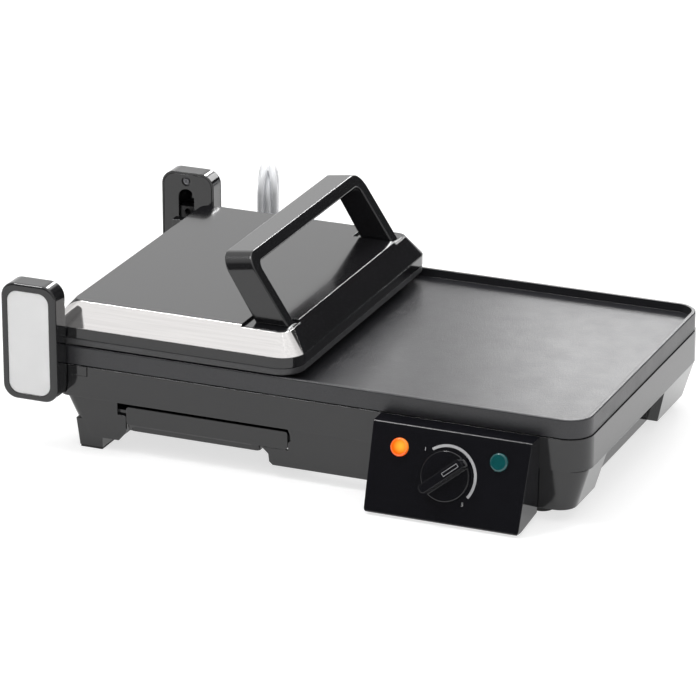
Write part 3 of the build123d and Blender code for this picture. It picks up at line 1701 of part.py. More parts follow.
hank_front_y = body_back + hank_gap
write(
    rod(
        (cord_exit_x, relief_wall_y + relief_reach, cord_z),
        (cord_exit_x, hank_front_y + cord_bite, cord_z), cord_diameter / 2,
    ),
    "cord_lead",
)

# The hank, its tie, the cord's free end and the plug are made upright at the origin, with the
# hank's width along X, and then turned and moved to their place.
hank_angle = radians(hank_turn)
hank_place = Location(
    (
        cord_exit_x - sin(hank_angle) * hank_depth / 2,
        hank_front_y + cos(hank_angle) * hank_depth / 2,
        0,
    ),
    (0, 0, hank_turn),
)
with BuildPart() as cord_hank:
    with BuildSketch(Plane.YZ.offset(-hank_width / 2)):
        with Locations((0, hank_height / 2)):
            SlotOverall(hank_height, hank_depth, rotation=90)
    extrude(amount=hank_width)
    fillet(edges().group_by(Axis.X)[0] + edges().group_by(Axis.X)[-1], cord_diameter)
write(hank_place * cord_hank.part, "cord_hank")

with BuildPart() as cord_tie:
    with BuildSketch(Plane.XY.offset((hank_height - tie_width) / 2)):
        RectangleRounded(
            hank_width + 2 * tie_thickness, hank_depth + 2 * tie_thickness,
            cord_diameter + tie_thickness,
        )
        RectangleRounded(
            hank_width + 0.2, hank_depth + 0.2, cord_diameter + 0.1, mode=Mode.SUBTRACT
        )
    extrude(amount=tie_width)
write(hank_place * cord_tie.part, "cord_tie")

tail_x = hank_width / 2 - cord_bite
tail_y = -hank_depth / 2 + 2 * cord_diameter
plug_x = tail_x + tail_length
tail = rod((tail_x, tail_y, tail_z), (plug_x, tail_y, tail_z), cord_diameter / 2)
write(hank_place * tail, "cord_tail")

with BuildPart() as plug_body:
    for x, width, height in (
        (plug_x, 2 * cord_diameter, 2 * cord_diameter),
        (plug_x + plug_shoulder, plug_width - 6, plug_height - 3),
        (plug_x + plug_length, plug_width, plug_height),
    ):
        with BuildSketch(Plane.YZ.offset(x)):
            with Locations((tail_y, tail_z)):
                RectangleRounded(width, height, plug_corner)
    loft(ruled=True)
write(hank_place * plug_body.part, "plug_body")

with BuildPart() as plug_pins:
    with BuildSketch(Plane.YZ.offset(plug_x + plug_length)):
        with Locations((tail_y - blade_shift, tail_z)):
            with GridLocations(1, blade_spacing, 1, 2):
                Rectangle(blade_width, blade_thickness)
        with Locations((tail_y - blade_shift + ground_offset, tail_z)):
            Circle(ground_radius)
    extrude(amount=pin_reach)
write(hank_place * plug_pins.part, "plug_pins")
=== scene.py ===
"""Dresses the panini press: finishes, panel marks, screws, cord, studio and camera.

The CAD frame brings every rigid piece in its place. This file gives each one its finish, adds
the printed marks and the small hardware, lays the mains cord, and sets a plain pale studio.
Lengths are in metres unless a name says otherwise.
"""

from __future__ import annotations

import json
import logging
import math
from dataclasses import dataclass
from enum import Enum

import bmesh
import bpy
from mathutils import Matrix, Vector

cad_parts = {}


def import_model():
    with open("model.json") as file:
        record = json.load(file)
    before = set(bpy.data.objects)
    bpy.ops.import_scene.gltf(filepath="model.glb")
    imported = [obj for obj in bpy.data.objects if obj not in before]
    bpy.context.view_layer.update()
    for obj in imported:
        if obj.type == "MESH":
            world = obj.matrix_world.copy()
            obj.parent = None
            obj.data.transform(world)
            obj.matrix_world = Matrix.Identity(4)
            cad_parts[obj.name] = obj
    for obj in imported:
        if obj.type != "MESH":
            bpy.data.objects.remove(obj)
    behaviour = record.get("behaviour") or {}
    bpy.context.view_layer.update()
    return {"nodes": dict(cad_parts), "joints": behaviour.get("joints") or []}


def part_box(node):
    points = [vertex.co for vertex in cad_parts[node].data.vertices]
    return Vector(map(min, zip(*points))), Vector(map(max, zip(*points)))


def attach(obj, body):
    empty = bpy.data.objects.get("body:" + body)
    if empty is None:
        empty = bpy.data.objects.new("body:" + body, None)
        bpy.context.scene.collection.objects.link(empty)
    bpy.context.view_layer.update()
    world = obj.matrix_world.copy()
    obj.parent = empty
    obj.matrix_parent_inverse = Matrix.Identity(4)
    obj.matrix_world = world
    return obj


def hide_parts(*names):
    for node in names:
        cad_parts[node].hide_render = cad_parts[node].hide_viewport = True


log = logging.getLogger("panini_press")
MM = 0.001
RIGHT = Vector((1, 0, 0))

Colour = tuple[float, float, float]
Pair = tuple[float, float]
Triple = tuple[float, float, float]


class Body(str, Enum):
    """The rigid bodies of the press that added pieces ride on."""

    BASE = "base"
    KNOB = "knob"


# ---------------------------------------------------------------------------------------------
# Finishes
# ---------------------------------------------------------------------------------------------


class Shader:
    """A material's node tree, with short calls to add and join nodes."""

    NOISE_REACH = (0.3, 0.7)  # the factors that a noise mostly stays between
    TINT_REACH = (0.35, 0.65)  # the factors between which a tint changes
    EDGE_SAMPLES = 6

    def __init__(self, name: str) -> None:
        """Starts an empty material.

        Args:
            name: The material's name.
        """
        self.material = bpy.data.materials.new(name)
        self.material.use_nodes = True
        self.tree = self.material.node_tree
        self.tree.nodes.clear()
        self.output = self.tree.nodes.new("ShaderNodeOutputMaterial")

    def add(self, kind: str, values: dict | None = None, **settings) -> bpy.types.Node:
        """Adds a node.

        Args:
            kind: The node's type, without its ShaderNode prefix.
            values: Socket values by socket name.
            **settings: Properties of the node.

        Returns:
            The new node.
        """
        node = self.tree.nodes.new("ShaderNode" + kind)
        for key, value in settings.items():
            setattr(node, key, value)
        for key, value in (values or {}).items():
            node.inputs[key].default_value = value
        return node

    def join(self, source: bpy.types.NodeSocket, target: bpy.types.NodeSocket) -> None:
        """Links two sockets.

        Args:
            source: The output socket.
            target: The input socket.
        """
        self.tree.links.new(source, target)

    def coordinates(self) -> bpy.types.NodeSocket:
        """Adds the object coordinates.

        Returns:
            Their socket.
        """
        return self.add("TexCoord").outputs["Object"]

    def noise(
        self, scale: float, detail: float, stretch: Triple | None = None
    ) -> bpy.types.NodeSocket:
        """Adds a noise on object coordinates.

        Args:
            scale: Cells per metre, roughly.
            detail: The noise's detail.
            stretch: Scale of each axis, for a directional grain.

        Returns:
            The noise's factor socket.
        """
        place = self.coordinates()
        if stretch:
            mapping = self.add("Mapping", {"Scale": stretch})
            self.join(place, mapping.inputs["Vector"])
            place = mapping.outputs["Vector"]
        node = self.add("TexNoise", {"Scale": scale, "Detail": detail})
        self.join(place, node.inputs["Vector"])
        return node.outputs["Fac"]

    def spread(
        self, source: bpy.types.NodeSocket, value: float, share: float
    ) -> bpy.types.NodeSocket:
        """Maps a noise to a value that wanders a little.

        Args:
            source: The noise's factor.
            value: The middle of the range.
            share: How far the range reaches to each side, as a share of the value.

        Returns:
            The socket with the result.
        """
        low, high = self.NOISE_REACH
        node = self.add(
            "MapRange",
            {
                "From Min": low,
                "From Max": high,
                "To Min": value * (1 - share),
                "To Max": value * (1 + share),
            },
        )
        self.join(source, node.inputs["Value"])
        return node.outputs["Result"]

    def ramp(
        self, source: bpy.types.NodeSocket, first: Colour, last: Colour, ends: Pair
    ) -> bpy.types.NodeSocket:
        """Runs a factor through a ramp between two colours.

        Args:
            source: The factor.
            first: The colour at the ramp's low end.
            last: The colour at its high end.
            ends: The factors at which the ramp begins and ends.

        Returns:
            The colour's socket.
        """
        node = self.add("ValToRGB")
        for element, position, colour in zip(node.color_ramp.elements, ends, (first, last)):
            element.position = position
            element.color = (*colour, 1)
        self.join(source, node.inputs["Fac"])
        return node.outputs["Color"]

    def tint(
        self, source: bpy.types.NodeSocket, colour: Colour, dark: float, light: float
    ) -> bpy.types.NodeSocket:
        """Clouds a colour with a noise.

        Args:
            source: The noise's factor.
            colour: The middle colour.
            dark: Factor of the colour where the noise is low.
            light: Factor where it is high.

        Returns:
            The colour's socket.
        """
        return self.ramp(source, shade(colour, dark), shade(colour, light), self.TINT_REACH)

    def relief(
        self, height: bpy.types.NodeSocket, strength: float, distance: float, edge: float
    ) -> bpy.types.NodeSocket:
        """Adds a bump over softened edges.

        Args:
            height: The socket with the bump's height.
            strength: The bump's strength.
            distance: The height that a full bump stands for.
            edge: Radius of the softened edges, or 0 to leave them sharp.

        Returns:
            The normal's socket.
        """
        bump = self.add("Bump", {"Strength": strength, "Distance": distance})
        self.join(height, bump.inputs["Height"])
        if edge:
            bevel = self.add("Bevel", {"Radius": edge}, samples=self.EDGE_SAMPLES)
            self.join(bevel.outputs["Normal"], bump.inputs["Normal"])
        return bump.outputs["Normal"]

    def finish(self, surface: bpy.types.Node) -> bpy.types.Material:
        """Sends a surface shader to the output.

        Args:
            surface: The shader's node.

        Returns:
            The finished material.
        """
        self.join(surface.outputs[0], self.output.inputs["Surface"])
        return self.material


def shade(colour: Colour, factor: float) -> Colour:
    """Makes a colour darker or lighter.

    Args:
        colour: The colour.
        factor: What each channel is multiplied by.

    Returns:
        The new colour.
    """
    return tuple(min(1.0, channel * factor) for channel in colour)


@dataclass(frozen=True)
class Moulding:
    """Moulded plastic or rubber: an even colour, a fine surface grain and softened edges."""

    name: str
    colour: Colour
    roughness: float
    grain: float = 0.02
    grain_scale: float = 2600.0
    grain_detail: float = 2.0
    grain_depth: float = 0.2 * MM
    edge: float = 0.9 * MM
    coat: float = 0.0
    coat_roughness: float = 0.04
    cloud_scale: float = 9.0
    cloud_detail: float = 3.0
    cloud_share: float = 0.07
    haze_scale: float = 38.0
    haze_detail: float = 4.0
    haze_share: float = 0.08

    def build(self) -> bpy.types.Material:
        """Builds the material.

        Returns:
            The material.
        """
        shader = Shader(self.name)
        surface = shader.add(
            "BsdfPrincipled", {"Coat Weight": self.coat, "Coat Roughness": self.coat_roughness}
        )
        cloud = shader.noise(self.cloud_scale, self.cloud_detail)
        colour = shader.tint(cloud, self.colour, 1 - self.cloud_share, 1 + self.cloud_share)
        haze = shader.noise(self.haze_scale, self.haze_detail)
        grain = shader.noise(self.grain_scale, self.grain_detail)
        normal = shader.relief(grain, self.grain, self.grain_depth, self.edge)
        shader.join(colour, surface.inputs["Base Color"])
        shader.join(
            shader.spread(haze, self.roughness, self.haze_share), surface.inputs["Roughness"]
        )
        shader.join(normal, surface.inputs["Normal"])
        return shader.finish(surface)


@dataclass(frozen=True)
class CoatedCasting:
    """Cast aluminium under a non-stick coating, finely pebbled."""

    name: str
    colour: Colour
    roughness: float
    specular: float = 0.6
    pebble: float = 0.35
    pebble_scale: float = 900.0
    pebble_detail: float = 3.0
    pebble_depth: float = 0.3 * MM
    speck_scale: float = 1530.0
    speck_dark: float = 0.8
    speck_light: float = 1.25
    haze_scale: float = 60.0
    haze_share: float = 0.08
    edge: float = 0.8 * MM

    def build(self) -> bpy.types.Material:
        """Builds the material.

        Returns:
            The material.
        """
        shader = Shader(self.name)
        surface = shader.add("BsdfPrincipled", {"Specular IOR Level": self.specular})
        speck = shader.noise(self.speck_scale, self.pebble_detail)
        colour = shader.tint(speck, self.colour, self.speck_dark, self.speck_light)
        haze = shader.noise(self.haze_scale, self.pebble_detail)
        pebble = shader.noise(self.pebble_scale, self.pebble_detail)
        normal = shader.relief(pebble, self.pebble, self.pebble_depth, self.edge)
        shader.join(colour, surface.inputs["Base Color"])
        shader.join(
            shader.spread(haze, self.roughness, self.haze_share), surface.inputs["Roughness"]
        )
        shader.join(normal, surface.inputs["Normal"])
        return shader.finish(surface)


@dataclass(frozen=True)
class Metal:
    """Bare metal: polished, brushed along X, or plain sheet."""

    name: str
    colour: Colour
    roughness: float
    brush: float = 0.0
    brush_depth: float = 0.1 * MM
    line_scale: float = 700.0
    line_detail: float = 3.0
    line_stretch: Triple = (0.02, 1.0, 1.0)
    line_dark: float = 0.96
    line_light: float = 1.03
    line_share: float = 0.15
    edge: float = 0.3 * MM

    def build(self) -> bpy.types.Material:
        """Builds the material.

        Returns:
            The material.
        """
        shader = Shader(self.name)
        surface = shader.add("BsdfPrincipled", {"Metallic": 1.0})
        line = shader.noise(self.line_scale, self.line_detail, self.line_stretch)
        colour = shader.tint(line, self.colour, self.line_dark, self.line_light)
        normal = shader.relief(line, self.brush, self.brush_depth, self.edge)
        shader.join(colour, surface.inputs["Base Color"])
        shader.join(
            shader.spread(line, self.roughness, self.line_share), surface.inputs["Roughness"]
        )
        shader.join(normal, surface.inputs["Normal"])
        return shader.finish(surface)


@dataclass(frozen=True)
class Lens:
    """A clear coloured lamp lens, brightest at its middle when it is lit."""

    name: str
    colour: Colour
    glow: float
    middle: Colour
    rim: Colour
    node: str
    roughness: float = 0.06
    refraction: float = 1.49
    coat: float = 0.6
    facet_scale: float = 1400.0
    facet_detail: float = 1.0
    facet_share: float = 0.15
    bulb_offset: Triple = (1.5 * MM, 0.0, 0.5 * MM)
    bulb_radius: float = 1.0 * MM

    def build(self) -> bpy.types.Material:
        """Builds the material.

        Returns:
            The material.
        """
        shader = Shader(self.name)
        surface = shader.add(
            "BsdfPrincipled",
            {
                "Roughness": self.roughness,
                "IOR": self.refraction,
                "Coat Weight": self.coat,
                "Emission Strength": self.glow,
            },
        )
        facet = shader.noise(self.facet_scale, self.facet_detail)
        colour = shader.tint(facet, self.colour, 1 - self.facet_share, 1 + self.facet_share)
        low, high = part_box(self.node)
        away = shader.add("VectorMath", operation="DISTANCE")
        away.inputs[1].default_value = (low + high) / 2 + Vector(self.bulb_offset)
        shader.join(shader.coordinates(), away.inputs[0])
        reach = shader.add(
            "MapRange", {"From Min": self.bulb_radius, "From Max": (high - low).x / 2}
        )
        shader.join(away.outputs["Value"], reach.inputs["Value"])
        glow = shader.ramp(reach.outputs["Result"], self.middle, self.rim, (0.0, 1.0))
        shader.join(colour, surface.inputs["Base Color"])
        shader.join(glow, surface.inputs["Emission Color"])
        return shader.finish(surface)


Finish = Moulding | CoatedCasting | Metal | Lens


class Finishes:
    """Every finish of the press, built once each."""

    GLOSS_BLACK = Moulding("gloss_black", (0.008, 0.008, 0.009), 0.1, grain=0.006, coat=0.3)
    HOUSING_BLACK = Moulding("housing_black", (0.01, 0.01, 0.011), 0.12, grain=0.008, coat=0.3)
    LID_BLACK = Moulding("lid_black", (0.009, 0.009, 0.01), 0.13, grain=0.008, coat=0.3)
    SATIN_BLACK = Moulding("satin_black", (0.009, 0.009, 0.01), 0.35, grain=0.03)
    PANEL_BLACK = Moulding("panel_black", (0.005, 0.005, 0.007), 0.1, grain=0.006)
    HANDLE_BLACK = Moulding("handle_black", (0.01, 0.01, 0.011), 0.14, grain=0.008, coat=0.3)
    RUBBER = Moulding("rubber_black", (0.02, 0.02, 0.02), 0.7, grain=0.2, grain_scale=1500.0)
    CORD = Moulding("cord_silver", (0.82, 0.83, 0.85), 0.28, grain=0.02, edge=0.0, coat=0.3)
    PLUG = Moulding("plug_silver", (0.74, 0.75, 0.77), 0.32, grain=0.04)
    TIE = Moulding("tie_black", (0.015, 0.015, 0.015), 0.5)
    CERAMIC = Moulding("ceramic_white", (0.72, 0.71, 0.68), 0.3)
    SILVER_PAINT = Moulding("silver_paint", (0.86, 0.86, 0.86), 0.25, grain=0.03, coat=0.3)
    PRINT_SILVER = Moulding("print_silver", (0.5, 0.5, 0.51), 0.4, edge=0.0)
    PRINT_GREY = Moulding("print_grey", (0.3, 0.3, 0.31), 0.5, edge=0.0)
    GRIDDLE = CoatedCasting("griddle_coating", (0.02, 0.02, 0.023), 0.34)
    UPPER_PLATE = CoatedCasting("plate_coating", (0.04, 0.04, 0.042), 0.4)
    POLISHED = Metal("polished_steel", (0.86, 0.84, 0.83), 0.07, brush=0.0)
    SHEET = Metal("sheet_steel", (0.55, 0.55, 0.55), 0.38, brush=0.3)
    SCREW = Metal("screw_steel", (0.5, 0.5, 0.5), 0.3)
    DARK_SCREW = Metal("dark_screw", (0.16, 0.16, 0.17), 0.3)
    HEATER = Metal("heater_steel", (0.3, 0.27, 0.24), 0.45, brush=0.1)
    BRASS = Metal("pin_brass", (0.8, 0.66, 0.36), 0.25)
    AMBER = Lens(
        "amber_lens",
        (0.6, 0.12, 0.0),
        glow=1.0,
        middle=(1.0, 0.72, 0.08),
        rim=(0.62, 0.05, 0.0),
        node="power_lamp_lens",
    )
    GREEN = Lens(
        "green_lens",
        (0.0, 0.07, 0.075),
        glow=0.03,
        middle=(0.0, 0.5, 0.4),
        rim=(0.0, 0.2, 0.2),
        node="ready_lamp_lens",
    )
    LAMP = Moulding("neon_lamp", (0.8, 0.4, 0.2), 0.1)

    NODE_FINISH = {
        "base_housing": HOUSING_BLACK,
        "bottom_cover": SHEET,
        "bottom_cover_screws": SCREW,
        "rubber_feet": RUBBER,
        "foot_pads": RUBBER,
        "griddle_plate": GRIDDLE,
        "griddle_element": HEATER,
        "heat_shield": SHEET,
        "griddle_screws": SCREW,
        "terminal_block": CERAMIC,
        "terminal_screw": SCREW,
        "control_panel": PANEL_BLACK,
        "panel_screws": SCREW,
        "thermostat": CERAMIC,
        "thermostat_nut": SCREW,
        "thermostat_probe": HEATER,
        "thermostat_shaft": SCREW,
        "power_lamp_lens": AMBER,
        "ready_lamp_lens": GREEN,
        "pilot_lamps": LAMP,
        "dial_knob": PANEL_BLACK,
        "drip_tray": HOUSING_BLACK,
        "tower_front_shell": GLOSS_BLACK,
        "tower_back_shell": GLOSS_BLACK,
        "tower_front_cover": GLOSS_BLACK,
        "tower_back_cover": GLOSS_BLACK,
        "tower_front_badge": SILVER_PAINT,
        "tower_back_badge": SILVER_PAINT,
        "cover_screws": DARK_SCREW,
        "arm_screws": SCREW,
        "slider_front": SATIN_BLACK,
        "slider_back": SATIN_BLACK,
        "hinge_pins": SHEET,
        "lid_frame": GLOSS_BLACK,
        "lid_cover": LID_BLACK,
        "lid_front_trim": POLISHED,
        "lid_screws": SCREW,
        "upper_plate": UPPER_PLATE,
        "upper_element": HEATER,
        "upper_reflector": SHEET,
        "upper_plate_screws": SCREW,
        "handle": HANDLE_BLACK,
        "handle_socket_front": GLOSS_BLACK,
        "handle_socket_back": GLOSS_BLACK,
        "handle_screws": SCREW,
        "strain_relief": RUBBER,
        "cord_lead": CORD,
        "cord_hank": CORD,
        "cord_tie": TIE,
        "cord_tail": CORD,
        "plug_body": PLUG,
        "plug_pins": BRASS,
    }

    def __init__(self) -> None:
        """Starts with no material built."""
        self.built: dict[str, bpy.types.Material] = {}

    def get(self, finish: Finish) -> bpy.types.Material:
        """Finds the material of a finish, and builds it at its first use.

        Args:
            finish: The finish.

        Returns:
            The material.
        """
        if finish.name not in self.built:
            self.built[finish.name] = finish.build()
        return self.built[finish.name]

    def dress_nodes(self, nodes: dict[str, bpy.types.Object]) -> None:
        """Gives every CAD node its finish.

        Args:
            nodes: The frame's objects by node name.
        """
        for name, node in nodes.items():
            node.data.materials.clear()
            node.data.materials.append(self.get(self.NODE_FINISH[name]))


# ---------------------------------------------------------------------------------------------
# Meshes
# ---------------------------------------------------------------------------------------------


def new_piece(
    name: str, mesh: bpy.types.Mesh, material: bpy.types.Material
) -> bpy.types.Object:
    """Links a mesh as an object with one material.

    Args:
        name: The object's name.
        mesh: Its mesh.
        material: Its only material.

    Returns:
        The object.
    """
    piece = bpy.data.objects.new(name, mesh)
    bpy.context.scene.collection.objects.link(piece)
    piece.data.materials.clear()
    piece.data.materials.append(material)
    return piece


def plate_mesh(name: str, outlines: list[list[Vector]], thickness: Vector) -> bpy.types.Mesh:
    """Makes thin closed plates, each from an outline pushed along a vector.

    Args:
        name: The mesh's name.
        outlines: Closed outlines, each counter-clockwise seen from the tip of thickness.
        thickness: The vector from the base of each plate to its top.

    Returns:
        The mesh.
    """
    bm = bmesh.new()
    for outline in outlines:
        base = [bm.verts.new(point) for point in outline]
        top = [bm.verts.new(point + thickness) for point in outline]
        bm.faces.new(list(reversed(base)))
        bm.faces.new(top)
        for here in range(len(outline)):
            after = (here + 1) % len(outline)
            bm.faces.new((base[here], base[after], top[after], top[here]))
    mesh = bpy.data.meshes.new(name)
    bm.to_mesh(mesh)
    bm.free()
    return mesh


def arc_points(radius: float, start: float, end: float, steps: int) -> list[Pair]:
    """Finds points along an arc round the origin of a plane.

    Args:
        radius: The arc's radius.
        start: The angle of its first point, in degrees.
        end: The angle of its last point, in degrees.
        steps: How many steps it takes.

    Returns:
        The points, one more than the steps.
    """
    angles = (math.radians(start + (end - start) * step / steps) for step in range(steps + 1))
    return [(radius * math.cos(angle), radius * math.sin(angle)) for angle in angles]


@dataclass(frozen=True)
class PanelPlane:
    """The plane of the sloped panel, with its origin on the knob's axis."""

    joint: dict

    @property
    def origin(self) -> Vector:
        """The point that the knob turns about."""
        return Vector(self.joint["pos_m"])

    @property
    def outward(self) -> Vector:
        """The panel's outward direction."""
        return -Vector(self.joint["axis"]).normalized()

    @property
    def upward(self) -> Vector:
        """The direction up the panel's slope."""
        return self.outward.cross(RIGHT)

    def point(self, across: float, up: float, lift: float = 0.0) -> Vector:
        """Finds a point on the panel or above it.

        Args:
            across: The distance to the right of the origin.
            up: The distance up the slope.
            lift: The height above the plane.

        Returns:
            The point.
        """
        return self.origin + RIGHT * across + self.upward * up + self.outward * lift


@dataclass
class PanelMarks:
    """The printed marks on the sloped panel: the heat arc and the figures at its ends."""

    finishes: Finishes
    plane: PanelPlane
    arc_radius: float = 23.3 * MM
    arc_width: float = 2.2 * MM
    arc_start: float = 126.0
    arc_end: float = -36.0
    arc_steps: int = 40
    print_height: float = 0.12 * MM
    figure_size: float = 4.2 * MM
    figures: tuple = (("1", -19.6 * MM, 18.0 * MM), ("5", 15.6 * MM, -19.4 * MM))

    def print_mesh(self, name: str, mesh: bpy.types.Mesh) -> None:
        """Adds one printed mark.

        Args:
            name: The piece's name.
            mesh: Its mesh.
        """
        piece = new_piece(name, mesh, self.finishes.get(Finishes.PRINT_SILVER))
        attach(piece, Body.BASE.value)

    def print_arc(self) -> None:
        """Prints the heat arc as a run of short plates."""
        sweep = (self.arc_start, self.arc_end, self.arc_steps)
        outer = arc_points(self.arc_radius + self.arc_width / 2, *sweep)
        inner = arc_points(self.arc_radius - self.arc_width / 2, *sweep)
        segments = [
            [
                self.plane.point(*place)
                for place in (outer[step + 1], outer[step], inner[step], inner[step + 1])
            ]
            for step in range(self.arc_steps)
        ]
        height = self.plane.outward * self.print_height
        self.print_mesh("heat_arc", plate_mesh("heat_arc", segments, height))

    def print_figure(self, figure: str, across: float, up: float) -> None:
        """Prints one figure of the heat scale.

        Args:
            figure: The figure.
            across: Its centre across the panel, from the knob's axis.
            up: Its centre up the panel.
        """
        data = bpy.data.curves.new(f"figure_{figure}", "FONT")
        data.body = figure
        data.size = self.figure_size
        data.align_x = "CENTER"
        data.align_y = "CENTER"
        data.extrude = self.print_height / 2
        text = bpy.data.objects.new(f"figure_{figure}", data)
        mesh = bpy.data.meshes.new_from_object(text)
        bpy.data.objects.remove(text)
        axes = (RIGHT, self.plane.upward, self.plane.outward)
        place = self.plane.point(across, up, self.print_height / 2)
        mesh.transform(Matrix.Translation(place) @ Matrix(axes).transposed().to_4x4())
        self.print_mesh(f"figure_{figure}", mesh)

    def build(self) -> None:
        """Builds the heat arc and the figures at its ends."""
        self.print_arc()
        for figure, across, up in self.figures:
            self.print_figure(figure, across, up)


@dataclass
class KnobMark:
    """The outlined slot on the pointer end of the knob's bar."""

    finishes: Finishes
    plane: PanelPlane
    node: bpy.types.Object
    turned: float = 40.3
    near: float = 2.0 * MM
    far: float = 16.5 * MM
    width: float = 3.2 * MM
    line: float = 0.45 * MM
    height: float = 0.08 * MM

    def front_reach(self) -> float:
        """Finds how far the knob's front face stands before the panel's plane.

        Returns:
            The distance along the knob's axis.
        """
        origin, outward = self.plane.origin, self.plane.outward
        return max((corner.co - origin).dot(outward) for corner in self.node.data.vertices)

    def build(self) -> None:
        """Lays four thin bars on the front of the knob's bar."""
        turn = math.radians(self.turned)
        along = RIGHT * math.cos(turn) + self.plane.upward * math.sin(turn)
        across = self.plane.outward.cross(along)
        face = self.plane.origin + self.plane.outward * self.front_reach()
        half, inset = self.width / 2, self.width / 2 - self.line
        bars = (
            (self.near, self.far, -half, -inset),
            (self.near, self.far, inset, half),
            (self.near, self.near + self.line, -inset, inset),
            (self.far - self.line, self.far, -inset, inset),
        )
        outlines = [
            [
                face + along * reach + across * side
                for reach, side in ((start, low), (end, low), (end, high), (start, high))
            ]
            for start, end, low, high in bars
        ]
        mesh = plate_mesh("knob_mark", outlines, self.plane.outward * self.height)
        piece = new_piece("knob_mark", mesh, self.finishes.get(Finishes.PRINT_GREY))
        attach(piece, Body.KNOB.value)


